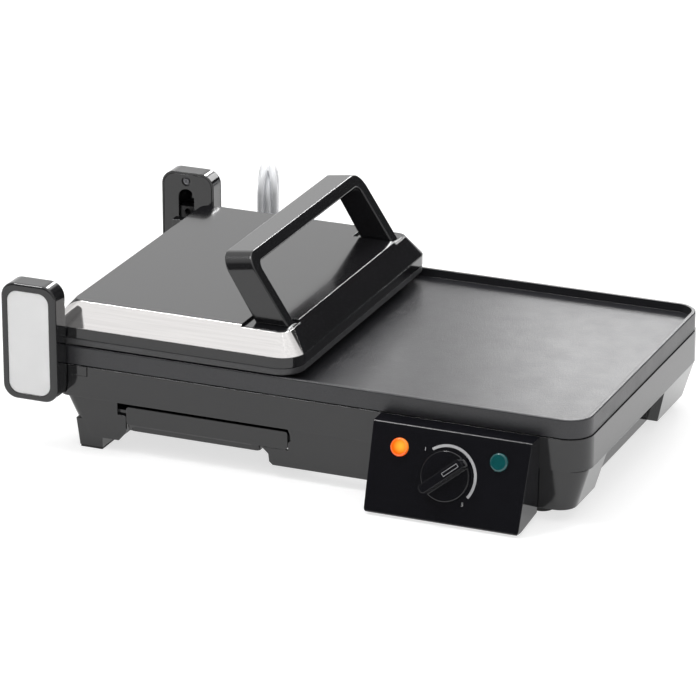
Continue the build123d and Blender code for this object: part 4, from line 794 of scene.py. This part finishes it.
@dataclass
class PhillipsHeads:
    """Cross-headed screws set on the heads of a CAD node, each turned its own way.

    The heads lie along the axis and face the point that is given. The head's profile, and the
    arms of its cross, are given as shares of its radius and height.
    """

    finishes: Finishes
    node: str
    axis: Triple
    facing: Triple
    finish: Metal
    body: Body = Body.BASE
    head_radius: float = 2.8 * MM
    head_height: float = 1.1 * MM
    shank_radius: float = 1.5 * MM
    shank_length: float = 8.0 * MM
    sides: int = 36
    crown: tuple[Pair, ...] = ((1.0, 0.0), (1.0, 0.5), (0.9, 0.86), (0.72, 1.0))
    arm_length: float = 0.58
    arm_half_width: float = 0.14
    recess: float = 0.9 * MM
    recess_taper: float = 0.7
    seed: int = 3
    weld: float = 0.001 * MM
    sort_step: float = 0.1 * MM

    def profile(self) -> list[Pair]:
        """Finds the radius and height of each ring of a screw, from its tip up.

        Returns:
            The rings.
        """
        shank = [(self.shank_radius, -self.shank_length), (self.shank_radius, 0.0)]
        return shank + [
            (self.head_radius * share, self.head_height * height) for share, height in self.crown
        ]

    def cross(self) -> list[Vector]:
        """Finds the outline of the cross recess.

        Returns:
            The outline's corners, on the plane of the origin.
        """
        arm, half = self.head_radius * self.arm_length, self.head_radius * self.arm_half_width
        return [
            Matrix.Rotation(math.radians(90 * quarter), 3, "Z") @ Vector(place)
            for quarter in range(4)
            for place in ((arm, -half, 0), (arm, half, 0), (half, half, 0))
        ]

    def head(self) -> bpy.types.Object:
        """Models one screw along Z, its domed head standing on the origin.

        Returns:
            The screw, which isn't linked to the scene.
        """
        bm = bmesh.new()
        ring = [Vector((*place, 0)) for place in arc_points(1.0, 0.0, 360.0, self.sides)[:-1]]
        loops = [
            [bm.verts.new(place * radius + Vector((0, 0, height))) for place in ring]
            for radius, height in self.profile()
        ]
        for lower, upper in zip(loops, loops[1:]):
            for k in range(self.sides):
                after = (k + 1) % self.sides
                bm.faces.new((lower[k], lower[after], upper[after], upper[k]))
        bm.faces.new(list(reversed(loops[0])))
        mouth, depth = Vector((0, 0, self.head_height)), Vector((0, 0, self.recess))
        rim = [bm.verts.new(place + mouth) for place in self.cross()]
        foot = [bm.verts.new(place * self.recess_taper + mouth - depth) for place in self.cross()]
        bm.faces.new(foot)
        edges = []
        for k in range(len(rim)):
            after = (k + 1) % len(rim)
            bm.faces.new((rim[after], rim[k], foot[k], foot[after]))
            edges.append(bm.edges.get((rim[k], rim[after])))
        top = loops[-1]
        edges += [bm.edges.get((top[k], top[(k + 1) % self.sides])) for k in range(self.sides)]
        bmesh.ops.triangle_fill(bm, edges=edges, use_beauty=True)
        bmesh.ops.recalc_face_normals(bm, faces=bm.faces)
        mesh = bpy.data.meshes.new("phillips_head")
        bm.to_mesh(mesh)
        bm.free()
        return bpy.data.objects.new("phillips_head", mesh)

    def screws(self, node: bpy.types.Object) -> list[list[Vector]]:
        """Sorts the corners of a CAD node by the separate screws in it.

        Args:
            node: The CAD node.

        Returns:
            The corners of each screw.
        """
        bm = bmesh.new()
        bm.from_mesh(node.data)
        bmesh.ops.remove_doubles(bm, verts=bm.verts, dist=self.weld)
        left, screws = dict.fromkeys(bm.verts), []
        while left:
            part, waiting = [], [left.popitem()[0]]
            while waiting:
                vertex = waiting.pop()
                part.append(vertex.co.copy())
                for edge in vertex.link_edges:
                    near = edge.other_vert(vertex)
                    if near in left:
                        del left[near]
                        waiting.append(near)
            screws.append(part)
        bm.free()
        return screws

    def seats(self, node: bpy.types.Object) -> bpy.types.Mesh:
        """Makes a point under each CAD screw's head, with the way that the head faces.

        Args:
            node: The CAD node.

        Returns:
            A mesh of points with the attribute "outward".
        """
        seats = []
        for screw in self.screws(node):
            middle = sum(screw, Vector()) / len(screw)
            outward = Vector(self.axis)
            if (Vector(self.facing) - middle).dot(outward) < 0:
                outward.negate()
            reach = max(corner.dot(outward) for corner in screw) - self.head_height
            seats.append((middle + outward * (reach - middle.dot(outward)), outward))
        seats.sort(key=lambda seat: [round(value / self.sort_step) for value in seat[0]])
        mesh = bpy.data.meshes.new(self.node + "_seats")
        mesh.from_pydata([place for place, _ in seats], [], [])
        ways = mesh.attributes.new("outward", "FLOAT_VECTOR", "POINT")
        for value, (_, outward) in zip(ways.data, seats):
            value.vector = outward
        return mesh

    def group(self) -> tuple[bpy.types.NodeTree, dict[str, str]]:
        """Makes the node group that sets a head on every point and turns it at random.

        Returns:
            The group, and the socket identifiers of its inputs by name.
        """
        group = bpy.data.node_groups.new("phillips_heads", "GeometryNodeTree")
        sockets = {}
        for name, kind in (
            ("Seats", "NodeSocketGeometry"), ("Head", "NodeSocketObject"),
            ("Seed", "NodeSocketInt"), ("Finish", "NodeSocketMaterial"),
        ):
            socket = group.interface.new_socket(name, in_out="INPUT", socket_type=kind)
            sockets[name] = socket.identifier
        group.interface.new_socket("Screws", in_out="OUTPUT", socket_type="NodeSocketGeometry")
        given = group.nodes.new("NodeGroupInput")
        result = group.nodes.new("NodeGroupOutput")
        info = group.nodes.new("GeometryNodeObjectInfo")
        turn = group.nodes.new("FunctionNodeRandomValue")
        spin = group.nodes.new("FunctionNodeEulerToRotation")
        axis = group.nodes.new("ShaderNodeCombineXYZ")
        way = group.nodes.new("GeometryNodeInputNamedAttribute")
        face = group.nodes.new("FunctionNodeAlignRotationToVector")
        lean = group.nodes.new("FunctionNodeRotateRotation")
        place = group.nodes.new("GeometryNodeInstanceOnPoints")
        real = group.nodes.new("GeometryNodeRealizeInstances")
        paint = group.nodes.new("GeometryNodeSetMaterial")
        way.data_type = "FLOAT_VECTOR"
        way.inputs["Name"].default_value = "outward"
        face.axis = "Z"
        turn.data_type = "FLOAT"
        turn.inputs["Max"].default_value = math.tau
        lean.rotation_space = "LOCAL"
        for source, target in (
            (given.outputs["Seats"], place.inputs["Points"]),
            (given.outputs["Head"], info.inputs["Object"]),
            (info.outputs["Geometry"], place.inputs["Instance"]),
            (given.outputs["Seed"], turn.inputs["Seed"]),
            (turn.outputs["Value"], axis.inputs["Z"]),
            (axis.outputs["Vector"], spin.inputs["Euler"]),
            (way.outputs["Attribute"], face.inputs["Vector"]),
            (face.outputs["Rotation"], lean.inputs["Rotation"]),
            (spin.outputs["Rotation"], lean.inputs["Rotate By"]),
            (lean.outputs["Rotation"], place.inputs["Rotation"]),
            (place.outputs["Instances"], real.inputs["Geometry"]),
            (real.outputs["Geometry"], paint.inputs["Geometry"]),
            (given.outputs["Finish"], paint.inputs["Material"]),
            (paint.outputs["Geometry"], result.inputs["Screws"]),
        ):
            group.links.new(source, target)
        return group, sockets

    def build(self, nodes: dict[str, bpy.types.Object]) -> None:
        """Sets the heads in place of the CAD node.

        Args:
            nodes: The frame's objects by node name.
        """
        head = self.head()
        material = self.finishes.get(self.finish)
        carrier = bpy.data.objects.new(self.node + "_carrier", self.seats(nodes[self.node]))
        bpy.context.scene.collection.objects.link(carrier)
        group, sockets = self.group()
        modifier = carrier.modifiers.new("heads", "NODES")
        modifier.node_group = group
        modifier[sockets["Head"]] = head
        modifier[sockets["Seed"]] = self.seed
        modifier[sockets["Finish"]] = material
        bpy.context.view_layer.update()
        evaluated = carrier.evaluated_get(bpy.context.evaluated_depsgraph_get())
        mesh = bpy.data.meshes.new_from_object(evaluated)
        bpy.data.objects.remove(carrier)
        piece = new_piece(self.node + "_heads", mesh, material)
        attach(piece, self.body.value)
        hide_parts(self.node)
        log.info("%s: %d vertices", piece.name, len(mesh.vertices))


@dataclass
class MainsCord:
    """The silver mains cord: out of its gland, wound into a tied hank, and on to the plug.

    The hank is laid in its own frame, in millimetres: x across its turns, y from fold to fold.
    Its tail is given from the end of the hank's last turn.
    """

    finishes: Finishes
    diameter: float = 6.0 * MM
    length: float = 0.924
    place: Pair = (-167.12, 208.24)
    turned: float = 22.6
    turns: int = 3
    fold_radius: float = 18.0
    fold_steps: int = 6
    top_z: float = 113.0
    low_z: float = 21.0
    pitch: float = 6.15
    step_aside: float = 9.3
    upper_run_z: float = 61.0
    lower_run_z: float = 40.0
    turn_rise: float = 2.5
    middle_drop: float = 6.5
    gather: tuple[float, ...] = (0.96, 0.75, 0.52, 0.52, 0.75, 0.96)
    run_bend: float = 20.0
    lead: tuple[Triple, ...] = (
        (-6.23, -35.96, 19.5), (-4.5, -31.9, 19.5), (-3.1, -23.5, 18.4), (-3.2, -15.9, 16.3),
        (-4.0, -8.6, 14.1), (-4.5, -1.0, 13.7), (-5.1, 7.1, 15.0), (-5.7, 14.0, 20.0),
        (-6.15, 18.0, 27.7), (-6.15, 18.0, 36.4),
    )
    tail: tuple[Triple, ...] = (
        (0.0, -17.8, 29.5), (7.0, -16.2, 17.5), (19.0, -13.2, 10.5), (32.0, -10.0, 10.5),
    )
    plug_entry: Triple = (58.6, -9.0, 10.5)
    bevel_resolution: int = 6
    resolution: int = 8

    def fold(self, x: float, z: float, side: int, shift: float) -> list[Triple]:
        """Lays one fold of the hank, over its top or round its foot.

        Args:
            x: Where the fold begins, across the hank.
            z: Height of the fold's centre.
            side: 1 for a fold over the top, -1 for one round the foot.
            shift: How far the cord moves across the hank within the fold.

        Returns:
            Points from the fold's first shoulder to its last.
        """
        half = math.radians(90 / self.fold_steps)
        reach = self.fold_radius / math.cos(half)
        shoulder = z + side * (reach * math.sin(half) - 2 * self.fold_radius * math.tan(half))
        points = [(x, side * self.fold_radius, shoulder)]
        for step in range(self.fold_steps):
            angle = half * (2 * step + 1)
            across = x + shift * (step + 0.5) / self.fold_steps
            if side > 0:
                across *= self.gather[step]
            points.append(
                (across, side * reach * math.cos(angle), z + side * reach * math.sin(angle))
            )
        points.append((x + shift, -side * self.fold_radius, shoulder))
        return points

    def route(self) -> list[Vector]:
        """Lays the cord's control points from the gland to the plug.

        Returns:
            The points, in metres.
        """
        points = list(self.lead)
        for turn in range(self.turns):
            x = self.pitch * (turn - 1)
            aside = x + self.step_aside
            drop = self.middle_drop if turn == 1 else 0.0
            rise = self.turn_rise * turn
            points += self.fold(x, self.top_z - drop, 1, 0.0)
            points.append((x, -self.fold_radius, self.upper_run_z + rise + self.run_bend))
            points.append((x, -self.fold_radius, self.upper_run_z + rise))
            points.append((aside, -self.fold_radius, self.lower_run_z + rise))
            if turn < self.turns - 1:
                points += self.fold(aside, self.low_z, -1, self.pitch - self.step_aside)
        aside = self.pitch + self.step_aside
        points += [(aside + x, y, z) for x, y, z in self.tail]
        points.append(self.plug_entry)
        turn = Matrix.Rotation(math.radians(self.turned), 3, "Z")
        middle = Vector((*self.place, 0))
        return [(turn @ Vector(point) + middle) * MM for point in points]

    def build(self) -> None:
        """Lays the cord in place of its CAD solids."""
        points = self.route()
        data = bpy.data.curves.new("mains_cord", "CURVE")
        data.dimensions = "3D"
        data.bevel_depth = self.diameter / 2
        data.bevel_resolution = self.bevel_resolution
        data.resolution_u = self.resolution
        data.use_fill_caps = True
        spline = data.splines.new("NURBS")
        spline.points.add(len(points) - 1)
        for point, place in zip(spline.points, points):
            point.co = (*place, 1)
        spline.order_u = 3
        spline.use_endpoint_u = True
        cord = bpy.data.objects.new("mains_cord", data)
        bpy.context.scene.collection.objects.link(cord)
        data.materials.append(self.finishes.get(Finishes.CORD))
        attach(cord, Body.BASE.value)
        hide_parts("cord_lead", "cord_hank", "cord_tail")
        log.info("cord: %d control points", len(points))


@dataclass(frozen=True)
class Field:
    """A round soft box or dark flag in the surround. Its angles are in degrees.

    The azimuth runs from +X towards +Y. The strength holds within the inner radius, and has
    faded out at the outer one.
    """

    azimuth: float
    elevation: float
    inner: float
    outer: float
    strength: float

    @property
    def direction(self) -> Triple:
        """The direction of the field's centre."""
        around, up = math.radians(self.azimuth), math.radians(self.elevation)
        return math.cos(up) * math.cos(around), math.cos(up) * math.sin(around), math.sin(up)


@dataclass(frozen=True)
class Lamp:
    """A rectangular soft light: its place, what it faces, its size, and its power in watts."""

    name: str
    place: Triple
    aim: Triple
    size: Pair
    power: float

    def build(self) -> None:
        """Hangs the lamp."""
        data = bpy.data.lights.new(self.name, "AREA")
        data.shape = "RECTANGLE"
        data.size, data.size_y = self.size
        data.energy = self.power
        lamp = bpy.data.objects.new(self.name, data)
        lamp.location = self.place
        facing = Vector(self.aim) - Vector(self.place)
        lamp.rotation_euler = facing.to_track_quat("-Z", "Y").to_euler()
        lamp.visible_camera = False
        bpy.context.scene.collection.objects.link(lamp)


class Studio:
    """The pale floor, the soft lights and the camera."""

    CAMERA_AZIMUTH = 22.570
    CAMERA_ELEVATION = 20.777
    CAMERA_ROLL = 0.0595
    CAMERA_DISTANCE = 3.47964
    CAMERA_AIM = Vector((-0.00503, -0.0006, 0.0628))
    CAMERA_REACH = 30.0
    SENSOR_MM = 36.0
    LENS_MM = 224.4
    FLOOR_REACH = 12.0
    FLOOR_GREY = 0.8
    FLOOR_SEEN_GREY = 0.45
    FLOOR_SEEN_GLOW = 0.68
    WHITE = (1, 1, 1, 1)
    AMBIENT = 0.7
    FIELDS = (
        Field(azimuth=0.0, elevation=90.0, inner=36.0, outer=52.0, strength=0.95),
        Field(azimuth=112.6, elevation=20.8, inner=16.0, outer=28.0, strength=1.1),
        Field(azimuth=64.0, elevation=15.0, inner=12.0, outer=24.0, strength=0.04),
        Field(azimuth=-112.0, elevation=12.0, inner=22.0, outer=34.0, strength=0.1),
        Field(azimuth=91.0, elevation=32.0, inner=7.0, outer=12.0, strength=1.9),
        Field(azimuth=96.0, elevation=31.0, inner=3.0, outer=5.0, strength=26.0),
        Field(azimuth=-168.0, elevation=66.0, inner=4.0, outer=7.0, strength=22.0),
        Field(azimuth=-150.0, elevation=62.0, inner=3.0, outer=5.5, strength=16.0),
    )
    LAMPS = (
        Lamp("overhead", (0.1, 0.2, 1.7), (0, 0, 0), (1.6, 1.2), 6.0),
        Lamp("griddle_sheen", (0.02, 0.72, 0.4), (0.22, 0, 0.077), (0.3, 0.2), 0.9),
    )

    def camera(self) -> None:
        """Places the camera."""
        data = bpy.data.cameras.new("camera")
        data.sensor_width = self.SENSOR_MM
        data.lens = self.LENS_MM
        data.clip_end = self.CAMERA_REACH
        camera = bpy.data.objects.new("camera", data)
        bpy.context.scene.collection.objects.link(camera)
        turn = (
            Matrix.Rotation(math.radians(self.CAMERA_AZIMUTH), 4, "Z")
            @ Matrix.Rotation(math.radians(90 - self.CAMERA_ELEVATION), 4, "X")
            @ Matrix.Rotation(math.radians(self.CAMERA_ROLL), 4, "Z")
        )
        place = self.CAMERA_AIM + turn @ Vector((0, 0, 1)) * self.CAMERA_DISTANCE
        camera.matrix_world = Matrix.Translation(place) @ turn
        bpy.context.scene.camera = camera

    def floor(self) -> None:
        """Lays the floor, which shows white to the camera and still takes the shadow."""
        mesh = bpy.data.meshes.new("floor")
        side = self.FLOOR_REACH
        corners = [(-side, -side, 0), (side, -side, 0), (side, side, 0), (-side, side, 0)]
        mesh.from_pydata(corners, [], [(0, 1, 2, 3)])
        shader = Shader("studio_floor")
        matte = shader.add("BsdfDiffuse", {"Color": self.grey(self.FLOOR_GREY)})
        seen_matte = shader.add("BsdfDiffuse", {"Color": self.grey(self.FLOOR_SEEN_GREY)})
        glow = shader.add("Emission", {"Color": self.WHITE, "Strength": self.FLOOR_SEEN_GLOW})
        both = shader.add("AddShader")
        shader.join(seen_matte.outputs[0], both.inputs[0])
        shader.join(glow.outputs[0], both.inputs[1])
        seen = self.seen_by_eye(shader)
        mix = shader.add("MixShader")
        shader.join(seen, mix.inputs[0])
        shader.join(matte.outputs[0], mix.inputs[1])
        shader.join(both.outputs[0], mix.inputs[2])
        floor = new_piece("floor", mesh, shader.finish(mix))

    @staticmethod
    def grey(level: float) -> tuple[float, float, float, float]:
        """Makes a grey.

        Args:
            level: Its brightness.

        Returns:
            The colour.
        """
        return level, level, level, 1.0

    @staticmethod
    def seen_by_eye(shader: Shader) -> bpy.types.NodeSocket:
        """Tells the rays of the camera, and of what gloss and glass show, from the rest.

        Args:
            shader: The floor's shader.

        Returns:
            A socket that is 1 for those rays and 0 for others.
        """
        path = shader.add("LightPath")
        first = shader.add("Math", operation="MAXIMUM")
        shader.join(path.outputs["Is Camera Ray"], first.inputs[0])
        shader.join(path.outputs["Is Glossy Ray"], first.inputs[1])
        second = shader.add("Math", operation="MAXIMUM")
        shader.join(first.outputs[0], second.inputs[0])
        shader.join(path.outputs["Is Transmission Ray"], second.inputs[1])
        return second.outputs[0]

    def world(self) -> None:
        """Sets the surround: white to the eye, and soft boxes and dark flags for the light."""
        world = bpy.data.worlds.new("studio")
        world.use_nodes = True
        tree = world.node_tree
        tree.nodes.clear()
        place = tree.nodes.new("ShaderNodeTexCoord").outputs["Generated"]
        level = tree.nodes.new("ShaderNodeValue").outputs[0]
        level.default_value = self.AMBIENT
        for field in self.FIELDS:
            level = self.lay(field, tree, place, level)
        light = tree.nodes.new("ShaderNodeBackground")
        tree.links.new(level, light.inputs["Strength"])
        path = tree.nodes.new("ShaderNodeLightPath")
        eye = tree.nodes.new("ShaderNodeBackground")
        mix = tree.nodes.new("ShaderNodeMixShader")
        output = tree.nodes.new("ShaderNodeOutputWorld")
        tree.links.new(path.outputs["Is Camera Ray"], mix.inputs[0])
        tree.links.new(light.outputs[0], mix.inputs[1])
        tree.links.new(eye.outputs[0], mix.inputs[2])
        tree.links.new(mix.outputs[0], output.inputs["Surface"])
        eye.inputs["Color"].default_value = self.WHITE
        light.inputs["Color"].default_value = self.WHITE
        bpy.context.scene.world = world

    @staticmethod
    def lay(
        field: Field,
        tree: bpy.types.NodeTree,
        place: bpy.types.NodeSocket,
        level: bpy.types.NodeSocket,
    ) -> bpy.types.NodeSocket:
        """Lays a field over the surround.

        Args:
            field: The soft box or flag.
            tree: The world's node tree.
            place: The socket with the direction.
            level: The socket with the strength so far.

        Returns:
            The socket with the new strength.
        """
        dot = tree.nodes.new("ShaderNodeVectorMath")
        dot.operation = "DOT_PRODUCT"
        dot.inputs[1].default_value = field.direction
        mask = tree.nodes.new("ShaderNodeMapRange")
        mask.interpolation_type = "SMOOTHSTEP"
        mask.inputs["From Min"].default_value = math.cos(math.radians(field.outer))
        mask.inputs["From Max"].default_value = math.cos(math.radians(field.inner))
        blend = tree.nodes.new("ShaderNodeMix")
        blend.inputs["B"].default_value = field.strength
        tree.links.new(place, dot.inputs[0])
        tree.links.new(dot.outputs["Value"], mask.inputs["Value"])
        tree.links.new(mask.outputs["Result"], blend.inputs["Factor"])
        tree.links.new(level, blend.inputs["A"])
        return blend.outputs["Result"]

    def build(self) -> None:
        """Sets the whole studio."""
        bpy.context.scene.view_settings.view_transform = "Standard"
        self.camera()
        self.floor()
        self.world()
        for lamp in self.LAMPS:
            lamp.build()


def main() -> None:
    """Builds the dressed press."""
    logging.basicConfig(level=logging.INFO)
    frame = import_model()
    finishes = Finishes()
    Studio().build()
    finishes.dress_nodes(frame["nodes"])
    joints = {joint["name"]: joint for joint in frame["joints"]}
    plane = PanelPlane(joints["knob_turn"])
    PanelMarks(finishes, plane).build()
    KnobMark(finishes, plane, frame["nodes"]["dial_knob"]).build()
    cover_screws = PhillipsHeads(
        finishes,
        node="cover_screws",
        axis=(0, 1, 0),
        facing=(0, 0.01, 0),
        finish=Finishes.DARK_SCREW,
    )
    cover_screws.build(frame["nodes"])
    MainsCord(finishes).build()


if __name__ == "__main__":
    main()
